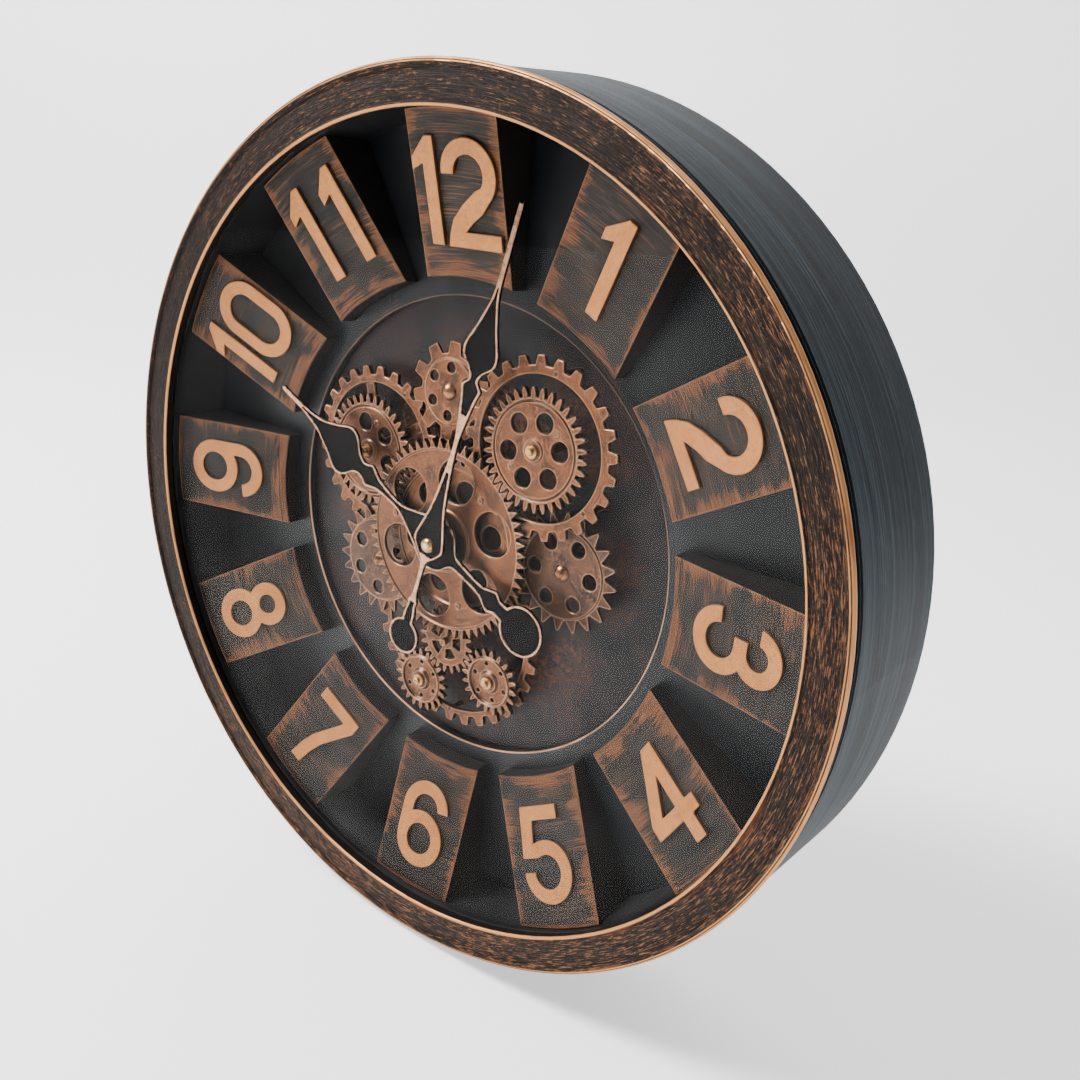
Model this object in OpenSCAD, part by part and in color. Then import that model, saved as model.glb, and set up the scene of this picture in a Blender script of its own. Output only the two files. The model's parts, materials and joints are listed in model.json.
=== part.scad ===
// Wall clock with turning gears. Every piece is modelled as if the clock lay on its back:
// x to the right, y towards twelve o'clock, z from the wall up to the viewer.
// stand() then sets it upright, with the wall behind and the origin in the middle of its box.

/* [Case and rim] */
// Width of the rim's face, from bead to lip
rim_w = 20.4; // [17:0.2:23]
// Depth of the clock, from the wall to the rim
case_depth = 85; // [80:1:100]
// How much wider the case is at the wall than at the rim
case_flare = 4; // [0:0.5:8]
// Thickness of the case's wall
case_wall = 2; // [1.4:0.2:2.6]

/* [Glass] */
// How far the glass lies behind the front of the rim
glass_depth = 6; // [5:0.5:8]
// Thickness of the glass
glass_t = 2; // [1.5:0.5:3]
// Thickness of the gasket behind the glass
gasket_t = 1; // [0.6:0.2:1.6]
// Free height between the hands' nut and the glass
glass_gap = 2; // [1.5:0.5:3]

/* [Dial] */
// Thickness of the moulded dial
dial_t = 2.5; // [2:0.1:3]
// Width of the flat ring between the well and the number blocks
well_step = 9.4; // [7:0.1:14]
// Height of the dial above the gear plate in the well
well_drop = 5; // [3:0.5:7]
// Width of a number block
block_w = 55; // [48:1:60]
// Length of a number block, from its inner end to the wall round the dial
block_length = 76.6; // [68:0.2:90]
// Clear ring between the farthest toothed ring and the blocks' inner ends
block_clear = 8.06; // [4:0.02:12]
// Height of a block's inner end above the dial
block_foot = 10.7; // [6:0.1:13]
// Free height between a block's outer end and the glass
block_gap = 3.2; // [1:0.2:5]
// Thickness of the gear plate
plate_t = 3; // [2:0.5:4]

/* [Numbers] */
// Height of a number, measured along its block
number_h = 51; // [46:1:56]
// Width of a single digit
number_w = 33; // [30:1:36]
// Width of a number's stroke
number_stroke = 7.7; // [7:0.1:9]
// Thickness of a number
number_t = 2; // [1.5:0.25:3]

/* [Gear train] */
// Tooth module of the turning gears
gear_module = 1.72; // [1.6:0.02:1.74]
// Teeth of the large centre gear
centre_teeth = 60; // [56:1:62]
// Teeth of the smaller wheel behind it
lower_teeth = 50; // [48:1:52]
// Teeth of the two upper gears
upper_teeth = 34; // [32:1:35]
// Teeth of the driving pinion and the two bottom gears
pinion_teeth = 20; // [18:1:21]
// Thickness of a turning gear
gear_t = 3; // [2:0.5:3.5]
// Thickness of the toothed rings that stand still
ring_t = 3; // [2:0.5:3.5]
// Thickness of the star gears that stand still
star_t = 2.5; // [2:0.5:3]
// Free height between one layer of gears and the next
layer_gap = 0.5; // [0.4:0.1:1]
// Height of the lowest layer above the plate
first_lift = 7.5; // [6:0.5:9]
// Play between meshing teeth, measured along the pitch circle
backlash = 0.6; // [0.4:0.05:0.8]

/* [Toothed rings and star gears] */
// Tip radius of the two upper rings
ring_tip_r = 45.5; // [43:0.5:47]
// Height of a ring's tooth
ring_tooth_h = 4.8; // [3.5:0.1:5.5]
// Width of a ring's solid band, inside its teeth
ring_band = 4.3; // [3:0.1:4.8]
// Tip radius of the open ring at the bottom
arch_tip_r = 57; // [54:1:58]
// Tip radius of the two star gears
star_tip_r = 31.5; // [28:0.5:33]
// Tip radius of the small gear at the top
top_tip_r = 26; // [23:0.5:27]

/* [Hands] */
// Length of the minute hand, from the axis to its tip
minute_len = 178; // [165:1:190]
// Length of the hour hand, from the axis to its tip
hour_len = 134; // [120:1:140]
// Half width of the hour hand at its hub
hour_half_w = 16; // [13:0.5:18]
// Half width of the minute hand at its leaf
minute_half_w = 10.7; // [8:0.1:12]
// Thickness of a hand
hand_t = 1.2; // [0.8:0.1:1.6]
// Height of the raised border on a hand
border_t = 0.6; // [0.3:0.1:1]
// Width of the raised border on a hand
border_w = 1.1; // [0.9:0.1:1.6]
// Free height between the two hands
hand_gap = 3.2; // [1.5:0.1:4]
// Free height between the gears and the hour hand
hand_lift = 5.3; // [4.8:0.1:7]

/* [Movement and drive] */
// Side of the square clock movement
movement_w = 56; // [52:1:58]
// Thickness of the clock movement
movement_t = 16; // [15:0.5:18]
// Side of the square gear drive
drive_w = 54; // [53:0.5:54.5]
// Thickness of the gear drive
drive_t = 19; // [18:0.5:22]
// Radius of the fixed bush on the dial's axis
bush_r = 5; // [4.5:0.1:5.5]
// Radius of the hour tube
hour_tube_r = 3.2; // [2.8:0.1:3.4]
// Radius of the minute arbor
minute_arbor_r = 1.6; // [1.3:0.1:1.8]
// Radius of a gear's stud
stud_r = 2; // [1.6:0.1:2.4]
// Radius of the setting knob
knob_r = 8; // [6:0.5:9]

/* [Back] */
// Thickness of the rear cover
cover_t = 2.5; // [2:0.5:3]
// Width of the flat rim that rests on the wall
back_flange = 12; // [9:1:14]
// Radius of the keyhole's round end
nail_hole_r = 5; // [4:0.5:6]
// Radius of the keyhole's slot
nail_slot_r = 2.3; // [1.8:0.1:2.6]

/* [Hidden] */

// Smoothness: a circle above 12 sides is a true circle
$fn = 64;
// Overrun of a cut past the face that it opens
cut = 1;

// Colours
black_c = "#1d1c1d";
slate_c = "#353b45";
copper_c = "#a8714f";
gold_c = "#c58f57";
bronze_c = "#6a4a3a";
brass_c = "#c9a94f";
steel_c = "#a9abad";
glass_c = [0.85, 0.92, 0.95, 0.25];
battery_c = "#3c5a4a";

// Fits
run_fit = 0.05;
end_play = 0.2;
seat_gap = 0.3;

// Heights of the rim, the glass and what stands on the dial
lip_drop = 1;
glass_z = case_depth - glass_depth;
glass_in_z = glass_z - glass_t;
gasket_z = glass_in_z - gasket_t;
nut_h = 2.4;
minute_z = glass_in_z - glass_gap - nut_h - border_t - hand_t;
hour_z = minute_z - hand_gap - border_t - hand_t;
upper_z = hour_z - hand_lift - gear_t;
high_ring_t = star_t;
high_ring_z = upper_z - layer_gap - high_ring_t;
lower_z = high_ring_z - layer_gap - gear_t;
star_z = lower_z - layer_gap - star_t;
low_ring_z = star_z - layer_gap - ring_t;
plate_z = low_ring_z - first_lift;
plate_back_z = plate_z - plate_t;
dial_z = plate_z + well_drop;
dial_back_z = dial_z - dial_t;

// Places of the gears
centre_pitch_r = gear_module * centre_teeth / 2;
lower_pitch_r = gear_module * lower_teeth / 2;
upper_pitch_r = gear_module * upper_teeth / 2;
pinion_pitch_r = gear_module * pinion_teeth / 2;
upper_right_angle = 48.35;
upper_left_angle = 151.55;
pinion_angle = 270.3;
bottom_left_angle = 240;
bottom_right_angle = 336.5;
upper_right_at = on_circle(centre_pitch_r + upper_pitch_r, upper_right_angle);
upper_left_at = on_circle(lower_pitch_r + upper_pitch_r, upper_left_angle);
pinion_at = on_circle(lower_pitch_r + pinion_pitch_r, pinion_angle);
bottom_left_at = pinion_at + on_circle(2 * pinion_pitch_r, bottom_left_angle);
bottom_right_at = pinion_at + on_circle(2 * pinion_pitch_r, bottom_right_angle);
right_star_at = [69.9, -0.3];
left_star_at = [-56, -29.5];
top_gear_at = [-10, 76.2];
arch_at = [0.3, -54.8];

// Radii of the dial, the rim and the plate, from the gears outwards
gear_reach = max([for (p = [[upper_right_at, ring_tip_r], [upper_left_at, ring_tip_r], [arch_at, arch_tip_r],
    [right_star_at, star_tip_r], [left_star_at, star_tip_r], [top_gear_at, top_tip_r],
    [bottom_left_at, pinion_pitch_r + gear_module], [bottom_right_at, pinion_pitch_r + gear_module]])
    norm(p[0]) + p[1]]);
block_r = gear_reach + block_clear;
well_r = block_r - well_step;
dish_r = block_r + block_length;
dish_wall_play = 1.4;
dish_wall_t = 2;
lip_r = dish_r - dish_wall_play;
rim_r = lip_r + rim_w;
dish_out_r = dish_r + dish_wall_t;
dish_flange = 8;
flange_r = dish_out_r + dish_flange;
plate_margin = 7;
plate_r = well_r + plate_margin;

// Case
bezel_skirt_h = 11;
step_z = case_depth - bezel_skirt_h;
neck_inset = 0.8;
neck_r = rim_r - neck_inset;
back_r = rim_r + case_flare;
spigot_h = 5;
spigot_t = 1.8;
skirt_t = 2.2;
spigot_r = neck_r - skirt_t;
ledge_t = 3;
ledge_in_r = dish_out_r + seat_gap;
flange_t = 2;
back_hole_r = back_r - back_flange;
boss_r = 5;
boss_count = 8;
boss_turn = 22.5;
rib_t = 4;
cover_play = 0.5;
cover_z = 1.5;
cover_r = back_hole_r - cover_play;
boss_circle_r = cover_r - boss_r - cover_play;

// Bezel
bead_r = 2.3;
lip_bead_r = 1.2;
ridge_r = 0.8;
ridge_drop = 8.2;
face_dip = 1.3;
crown_h = 0.5;
bezel_t = 1.8;
groove_depth = 1;

// Blocks and numbers
hours = 12;
hour_step = 360 / hours;
block_out_z = glass_in_z - block_gap;
block_in_z = dial_z + block_foot;
block_slope = (block_out_z - block_in_z) / block_length;
block_tilt = atan(block_slope);
number_mid_share = 0.516;
number_mid_r = block_r + block_length * number_mid_share;
number_mid_z = block_in_z + block_length * number_mid_share * block_slope;
digit_gap = 3.2;
eleven_gap = 11;
one_w_share = 0.44;

// Screws
screw_head_r = 2.8;
screw_head_t = 1.4;
screw_slot_len = 3.8;
screw_slot_w = 0.8;
screw_r = 1.4;
pilot_r = screw_r + run_fit;
screw_end = 0.5;
cover_screw_len = 9;
dial_screw_r = dish_out_r + dish_flange / 2;
plate_screw_r = well_r + plate_margin / 2;
plate_screw_turn = 15;
screw_count = 6;

// Turns that put the teeth in mesh
centre_turn = upper_right_angle;
upper_right_turn = mesh_turn(centre_turn, centre_teeth, upper_teeth, upper_right_angle);
lower_turn = upper_left_angle;
upper_left_turn = mesh_turn(lower_turn, lower_teeth, upper_teeth, upper_left_angle);
pinion_turn = mesh_turn(lower_turn, lower_teeth, pinion_teeth, pinion_angle);
bottom_left_turn = mesh_turn(pinion_turn, pinion_teeth, pinion_teeth, bottom_left_angle);
bottom_right_turn = mesh_turn(pinion_turn, pinion_teeth, pinion_teeth, bottom_right_angle);

// Tooth form of the turning gears
pressure_angle = 20;
tip_share = 1;
root_share = 1.25;
centre_tip_share = 1.55;
lower_tip_share = 1.2;
upper_root_share = 1.8;
pinion_root_share = 1.45;
flank_steps = 2;
web_drop = 0.8;
centre_rim_r = 48.6;
centre_hub_r = 17;
lower_rim_r = 38;
upper_rim_r = 24.6;

// Rings, star gears and their teeth
ring_teeth = 25;
arch_teeth = 30;
star_teeth = 20;
top_teeth = 10;
ring_root_share = 0.62;
ring_tip_share = 0.34;
star_root_share = 0.78;
star_tip_part = 0.12;
top_root_share = 0.66;
top_tip_share = 0.40;
star_tooth_h = 6.3;
star_disc_r = 24;
star_disc_h = 0.8;
top_disc_r = 17.2;
right_star_turn = 0;
left_star_turn = 149.5;
top_gear_turn = 14;
high_ring_turn = 7;
low_ring_turn = 3;
arch_turn = 6;
top_tooth_h = 6.2;
arch_tooth_h = 5.4;
arch_band = 3.2;
arch_open_angle = 78;
arch_post_angles = [-35, 215, 270];
spoke_count = 5;
spoke_w = 6.4;
spoke_turn = 30;
post_count = 3;
ring_post_circle = ring_tip_r - ring_tooth_h - ring_band / 2;
arch_post_circle = arch_tip_r - arch_tooth_h - arch_band / 2;
high_post_turn = 80;
low_post_turn = 60;
post_r = 1.5;
post_pin_r = 0.8;
spoke_drop = 0.6;
ring_hub_r = 8.5;

// Studs, nuts and rivets
shoulder_r = 4;
waist_r = 3;
stud_head_r = 3.4;
stud_head_h = 1.2;
stud_tip_h = 1;
rivet_shank_r = 1.5;
gear_boss_r = 5.6;
gear_boss_h = 0.8;
stud_nut_r = 3.9;
stud_nut_h = 1.6;
dome_r = 4.7;
dome_h = 3.2;

// Holes in the gears
centre_hole_r = 11.8;
centre_hole_circle = 33.6;
centre_hole_turn = 20;
lower_hole_r = 6.5;
lower_hole_circle = 27;
lower_hole_turn = 14;
upper_hole_r = 5;
upper_hole_circle = 15.4;
upper_right_hole_turn = 10;
upper_left_hole_turn = 41;
plug_r = 1.7;
plug_circle = 16.6;
plugs = 3;
centre_plug_circle = 36;
groove_w = 0.8;
star_hole_r = 4.1;
star_hole_circle = 16.8;
top_hole_r = 2.9;
top_hole_circle = 12.7;
top_hole_turn = 28;
pinion_hub_r = 5;
pinion_window_r = 10.6;
pinion_window_angle = 44;
pinion_windows = 5;
pinion_window_turn = 4;
dish_rim_r = 14.2;
dish_rim_w = 1.4;
dish_hub_r = 6.2;
dish_hole_r = 1.2;
dish_hole_circle = 10.4;
holes = 6;

// Centre: sleeve, bush and nuts
sleeve_wall = 3;
sleeve_r = bush_r + run_fit + sleeve_wall;
clamp_nut_r = 9;
clamp_nut_h = 3;
sleeve_z = plate_z + clamp_nut_h + end_play;
sleeve_top = 1;
collar_w = 2.4;
sleeve_top_z = upper_z + gear_t + sleeve_top;
cap_nut_r = 7.5;
cap_nut_h = 2.2;
cap_nut_z = sleeve_top_z + end_play;
bush_top_z = cap_nut_z + cap_nut_h;
bush_root = 3;
bush_z = plate_back_z - bush_root;
wheel_t = 1.5;
hour_wheel_z = bush_z - end_play - wheel_t;
minute_wheel_z = hour_wheel_z - end_play - wheel_t;
works_z = minute_wheel_z - end_play;
hand_nut_r = 3.8;
arbor_end = 1.3;

// Hands at rest, in degrees clockwise from twelve
minute_rest = 14.6;
hour_rest = 297;

// Movement, drive and batteries
corner_r = 4;
cell_r = 7;
cell_len = 48;
cell_tip_r = 2.7;
cell_tip = 2;
movement_cell_y = -19.2;
drive_cell_y = -18.4;
drive_gap = 3;
drive_at = [0, -movement_w / 2 - drive_gap - drive_w / 2];
drive_wheel_r = 6;
drive_wheel_t = 2;
drive_wheel_drop = 4;
arbor_tail = 3;
knob_t = 4;
knob_sink = 2;
knob_stem_r = 2;
knob_ribs = 18;
knob_rib_r = 0.7;
bush_flange_r = 4.6;
bush_flange_t = 1;
bush_wall = 1.6;
window_play = 3;
window_top = movement_w / 2 + window_play;
window_end = drive_at[1] - drive_w / 2 - window_play;
cell_wall = 1;
contact_t = 0.5;
contact_w = 6;
movement_back_z = plate_back_z - movement_t;
drive_back_z = plate_back_z - drive_t;
drive_wheel_z = plate_back_z - bush_root - end_play - drive_wheel_t;

// Hanger
hanger_w = 64;
hanger_h = 30;
hanger_t = cover_z;
hanger_y = cover_r - 2 * hanger_h / 3 - boss_r;
nail_travel = 9;
nail_room = 3;
rivet_r = 1.6;
rivet_head_r = 3;
rivet_head_t = 1;
rivet_x_share = 0.36;

// Digit shapes
pie_steps = 6;
flag_share = 0.2;
flag_end_share = 0.8;
flag_slope = 1.7;
one_flat_share = 0.62;
two_turn = -60;
two_join_turn = -38;
two_join_share = 0.02;
two_end = 182;
two_inner_share = 0.29;
two_right_shares = [[0.04, -0.5], [0.4, -0.34]];
two_left_shares = [[0.18, 0.07], [-0.34, -0.2], [-0.72, -0.46], [-0.91, -0.73]];
three_end = 178;
four_share = 0.23;
four_stub_share = 0.74;
five_lean = 2.6;
five_bar_share = 0.85;
five_gap_share = 0.95;
six_end = 8;
seven_neck_share = 0.45;
seven_left_shares = [[0.07, 0.22], [-0.24, -0.17], [-0.41, -0.56], [-0.49, -1]];
seven_right_shares = [[0.02, -1], [0.11, -0.56], [0.29, -0.17], [0.61, 0.22]];
eight_share = 0.14;

// Works of the clock movement: two pairs of small wheels at one centre distance
works_module = 0.5;
cannon_teeth = 12;
set_teeth = 36;
set_pinion_teeth = 10;
hour_teeth = 40;
works_wheel_share = 0.6;
works_pinion_share = 1;
works_root_share = 1.25;
works_backlash = 0.4;
works_distance = works_module * (cannon_teeth + set_teeth) / 2;
hour_module = 2 * works_distance / (set_pinion_teeth + hour_teeth);
hour_wheel_r = hour_module * (hour_teeth / 2 + works_wheel_share);
set_wheel_r = works_module * (set_teeth / 2 + works_wheel_share);
works_play = 0.6;
knob_angle = 45;
knob_at = on_circle(works_distance, knob_angle);
set_turn = mesh_turn(knob_angle, cannon_teeth, set_teeth, knob_angle);
set_pinion_turn = knob_angle + 180;
hour_wheel_turn = mesh_turn(set_pinion_turn, set_pinion_teeth, hour_teeth, set_pinion_turn);

// Hand outlines: share of the length from the axis, and share of the greatest half width
hour_tip_shares = [
    [0.999, 0.045], [0.985, 0.073], [0.900, 0.078]
];
hour_body_shares = [
    [0.862, 0.090], [0.828, 0.118], [0.791, 0.160], [0.728, 0.281], [0.642, 0.656], [0.597, 0.900],
    [0.560, 0.925], [0.525, 0.719],
    [0.500, 0.438], [0.463, 0.275], [0.433, 0.338], [0.410, 0.438], [0.358, 0.212], [0.276, 0.131],
    [0.209, 0.156], [0.149, 0.375], [0.082, 0.656], [0.012, 1.000], [-0.035, 0.919],
    [-0.072, 0.725], [-0.095, 0.406], [-0.119, 0.225], [-0.163, 0.188], [-0.224, 0.169],
    [-0.279, 0.200], [-0.319, 0.381], [-0.341, 0.425], [-0.366, 0.287], [-0.418, 0.306]
];
minute_tip_shares = [
    [1.000, 0.075], [0.990, 0.112], [0.820, 0.116]
];
minute_leaf_shares = [
    [0.785, 0.130], [0.747, 0.210], [0.699, 0.449], [0.669, 0.607], [0.629, 0.879], [0.601, 1.000],
    [0.576, 0.869],
    [0.558, 0.523], [0.539, 0.308], [0.522, 0.271], [0.503, 0.561], [0.478, 0.449], [0.421, 0.280]
];
minute_waist_shares = [
    [0.360, 0.140], [0.309, 0.112]
];
minute_hub_shares = [
    [0.242, 0.196], [0.171, 0.318], [0.109, 0.495], [0.056, 0.748], [0.020, 0.907],
    [-0.003, 0.916], [-0.034, 0.495]
];
minute_neck_shares = [
    [-0.051, 0.206], [-0.082, 0.112], [-0.169, 0.112]
];
minute_tail_shares = [
    [-0.198, 0.280], [-0.213, 0.234], [-0.247, 0.327], [-0.281, 0.327]
];
hour_shares = concat(hour_tip_shares, hour_body_shares);
minute_shares = concat(minute_tip_shares, minute_leaf_shares, minute_waist_shares,
    minute_hub_shares, minute_neck_shares, minute_tail_shares);
hour_disc_share = -0.5;
hour_disc_r = 13.5;
minute_disc_share = -0.325;
minute_disc_r = 10.3;
curve_steps = 2;
thin_share = 0.03;

// A point on a circle round the axis
function on_circle(r, a) = [r * cos(a), r * sin(a)];

// The turn of the second of two meshing gears, whose centre lies at angle a from the first
function mesh_turn(turn, teeth, next_teeth, a) =
    a + 180 + 180 / next_teeth - (turn - a) * teeth / next_teeth;

// Involute angle in degrees at radius r on base circle rb
function involute(r, rb) = r <= rb ? 0 : sqrt(pow(r / rb, 2) - 1) * 180 / PI - acos(rb / r);

// Half the angle of a tooth at radius r
function half_tooth(teeth, rp, rb, r, play) =
    90 / teeth - play / 4 / rp * 180 / PI + involute(rp, rb) - involute(r, rb);

// Outline of a gear with involute teeth. The tip and root stand so many modules from the pitch circle
function gear_outline(teeth, m, turn, tip_share, root_share, play) =
    let (rp = m * teeth / 2, rb = rp * cos(pressure_angle), tip = rp + m * tip_share,
         root = rp - m * root_share,
         radii = [for (k = [0 : flank_steps]) root + (tip - root) * k / flank_steps])
    [for (i = [0 : teeth - 1], k = [0 : 2 * flank_steps + 1])
        let (r = radii[k <= flank_steps ? k : 2 * flank_steps + 1 - k],
             side = k <= flank_steps ? -1 : 1)
        on_circle(r, turn + 360 * i / teeth + side * half_tooth(teeth, rp, rb, r, play))];

// Outline of a wheel with plain straight teeth
function toothed_outline(teeth, root, tip, root_share, tip_share, turn) =
    [for (i = [0 : teeth - 1], k = [0 : 3])
        let (share = (k == 0 || k == 3) ? root_share : tip_share, side = k < 2 ? -1 : 1)
        on_circle((k == 0 || k == 3) ? root : tip, turn + (360 * i + side * 180 * share) / teeth)];

// A smooth curve through points a, b, c and d, at share t of the way from b to c
function curve_point(a, b, c, d, t) =
    0.5 * (2 * b + (c - a) * t + (2 * a - 5 * b + 4 * c - d) * t * t + (3 * b - a - 3 * c + d) * t * t * t);
function smooth(p, n) = let (last = len(p) - 1)
    [for (i = [0 : last - 1], k = [0 : n - 1])
        curve_point(p[max(i - 1, 0)], p[i], p[i + 1], p[min(i + 2, last)], k / n), p[last]];

module stand() translate([0, case_depth / 2, 0]) rotate([90, 0, 0]) children();
module at(p, z = 0) translate([p[0], p[1], z]) children();
module tube(r, bore, h) difference() {
    cylinder(r = r, h = h);
    translate([0, 0, -cut]) cylinder(r = bore, h = h + 2 * cut);
}
module ring_of(count, r, turn = 0)
    for (i = [0 : count - 1]) rotate(turn + 360 * i / count) translate([r, 0, 0]) children();
module round_rect(w, h, r) {
    square([w - 2 * r, h], center = true);
    square([w, h - 2 * r], center = true);
    for (x = [-1, 1], y = [-1, 1]) translate([x * (w / 2 - r), y * (h / 2 - r)]) circle(r);
}

// Case: a drum that widens to the wall, with a flat back rim, an inner ledge and screw bosses
function case_r(z) = back_r - (back_r - neck_r) * z / step_z;
module case_profile() {
    spigot_in = spigot_r - spigot_t;
    ledge_back_z = dial_back_z - ledge_t;
    polygon([[back_hole_r, 0], [back_r, 0], [neck_r, step_z], [spigot_r, step_z],
        [spigot_r, step_z + spigot_h], [spigot_in, step_z + spigot_h], [spigot_in, step_z - spigot_h],
        [case_r(step_z - spigot_h) - case_wall, step_z - 2 * spigot_h],
        [case_r(dial_back_z) - case_wall, dial_back_z], [ledge_in_r, dial_back_z],
        [ledge_in_r, ledge_back_z], [case_r(ledge_back_z) - case_wall, ledge_back_z],
        [case_r(flange_t) - case_wall, flange_t], [back_hole_r, flange_t]]);
}
module case_shell() stand() color(slate_c) {
    boss_z = cover_z + cover_t;
    boss_top_z = dial_back_z - ledge_t / 2;
    difference() {
        union() {
            rotate_extrude($fn = 128) case_profile();
            ring_of(boss_count, boss_circle_r, boss_turn) {
                translate([0, 0, boss_z]) cylinder(r = boss_r, h = boss_top_z - boss_z);
                rotate([90, 0, 0]) translate([-boss_circle_r, 0, -rib_t / 2]) linear_extrude(rib_t)
                    polygon([[boss_circle_r, boss_z], [case_r(boss_z) - case_wall / 2, boss_z],
                        [case_r(boss_top_z) - case_wall / 2, boss_top_z], [boss_circle_r, boss_top_z]]);
            }
        }
        ring_of(boss_count, boss_circle_r, boss_turn)
            translate([0, 0, boss_z - cut]) cylinder(r = pilot_r, h = cover_screw_len + cut, $fn = 32);
        ring_of(screw_count, dial_screw_r)
            translate([0, 0, dial_back_z - ledge_t - cut])
                cylinder(r = pilot_r, h = ledge_t + 2 * cut, $fn = 32);
    }
}

// Bezel: the copper lip, the worn face, the outer bead and the ridge that sits on the case
module bezel_profile() {
    bead_c = [rim_r - bead_r, case_depth - bead_r];
    lip_c = [lip_r + lip_bead_r, case_depth - lip_drop - lip_bead_r];
    face_out = [rim_r - 2 * bead_r, case_depth - face_dip];
    face_in = [lip_r + 2 * lip_bead_r, case_depth - lip_drop - face_dip / 2];
    mid = (face_out + face_in) / 2 + [0, crown_h];
    translate(bead_c) circle(bead_r);
    translate(lip_c) circle(lip_bead_r);
    polygon([[lip_r, lip_c[1]], [lip_r + lip_bead_r / 2, glass_z], [dish_out_r, glass_z],
        [dish_out_r, glass_z + bezel_t], [spigot_r - spigot_t, case_depth - bead_r - bezel_t],
        [spigot_r, step_z + spigot_h], [spigot_r, step_z], [neck_r, step_z],
        [neck_r - groove_depth, step_z + ridge_r], [neck_r - groove_depth, bead_c[1]],
        [bead_c[0], case_depth - face_dip], face_out, mid, face_in, [lip_c[0], lip_c[1] + lip_bead_r / 2]]);
    translate([neck_r - ridge_r, case_depth - ridge_drop]) circle(ridge_r);
}
module bezel() stand() color(black_c) rotate_extrude($fn = 128) bezel_profile();

module glass_lens() stand() color(glass_c)
    translate([0, 0, glass_in_z]) cylinder(r = dish_out_r, h = glass_t, $fn = 128);

module lens_gasket() stand() color(black_c)
    translate([0, 0, gasket_z]) tube(dish_out_r, dish_r, gasket_t, $fn = 128);

// A block's side view swept across its width; its inner end follows a circle round the axis
module block() {
    start_r = block_r * cos(asin(block_w / 2 / block_r)) - cut;
    intersection() {
        translate([-block_w / 2, 0, 0]) rotate([90, 0, 90]) linear_extrude(block_w)
            polygon([[start_r, dial_z], [dish_r, dial_z],
                [dish_r, block_in_z + (dish_r - block_r) * block_slope],
                [start_r, block_in_z + (start_r - block_r) * block_slope]]);
        translate([0, 0, dial_z]) cylinder(r = dish_r - seat_gap, h = block_out_z - dial_z + cut, $fn = 128);
    }
}
module number_blocks() stand() color(black_c) difference() {
    for (i = [0 : hours - 1]) rotate(-hour_step * i) block();
    translate([0, 0, dial_z - cut]) cylinder(r = block_r, h = block_out_z - dial_z + 2 * cut, $fn = 128);
}
// Dial: a ring with a thick edge round the well, which the gear plate is screwed to
module dial_ring() stand() color(black_c) difference() {
    rotate_extrude($fn = 128) polygon([[well_r, plate_z], [plate_r, plate_z],
        [plate_r, dial_back_z], [flange_r, dial_back_z], [flange_r, dial_z], [well_r, dial_z]]);
    ring_of(screw_count, dial_screw_r)
        translate([0, 0, dial_back_z - cut]) cylinder(r = pilot_r, h = dial_t, $fn = 32);
    ring_of(screw_count, plate_screw_r, plate_screw_turn)
        translate([0, 0, plate_z - cut]) cylinder(r = pilot_r, h = well_drop, $fn = 32);
}
module side_band() stand() color(black_c)
    translate([0, 0, dial_z]) tube(dish_out_r, dish_r, gasket_z - dial_z, $fn = 128);

// Numbers: each digit is drawn round its middle, with a stroke of one width
module stadium(w, h) {
    square([w, h - w], center = true);
    for (side = [-1, 1]) translate([0, side * (h - w) / 2]) circle(w / 2);
}
module pie(r, from, to)
    polygon(concat([[0, 0]],
        [for (k = [0 : pie_steps]) on_circle(2 * r, from + (to - from) * k / pie_steps)]));
module bow(r, from, to) intersection() {
    difference() {
        circle(r);
        circle(r - number_stroke);
    }
    pie(r, from, to);
}
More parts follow.
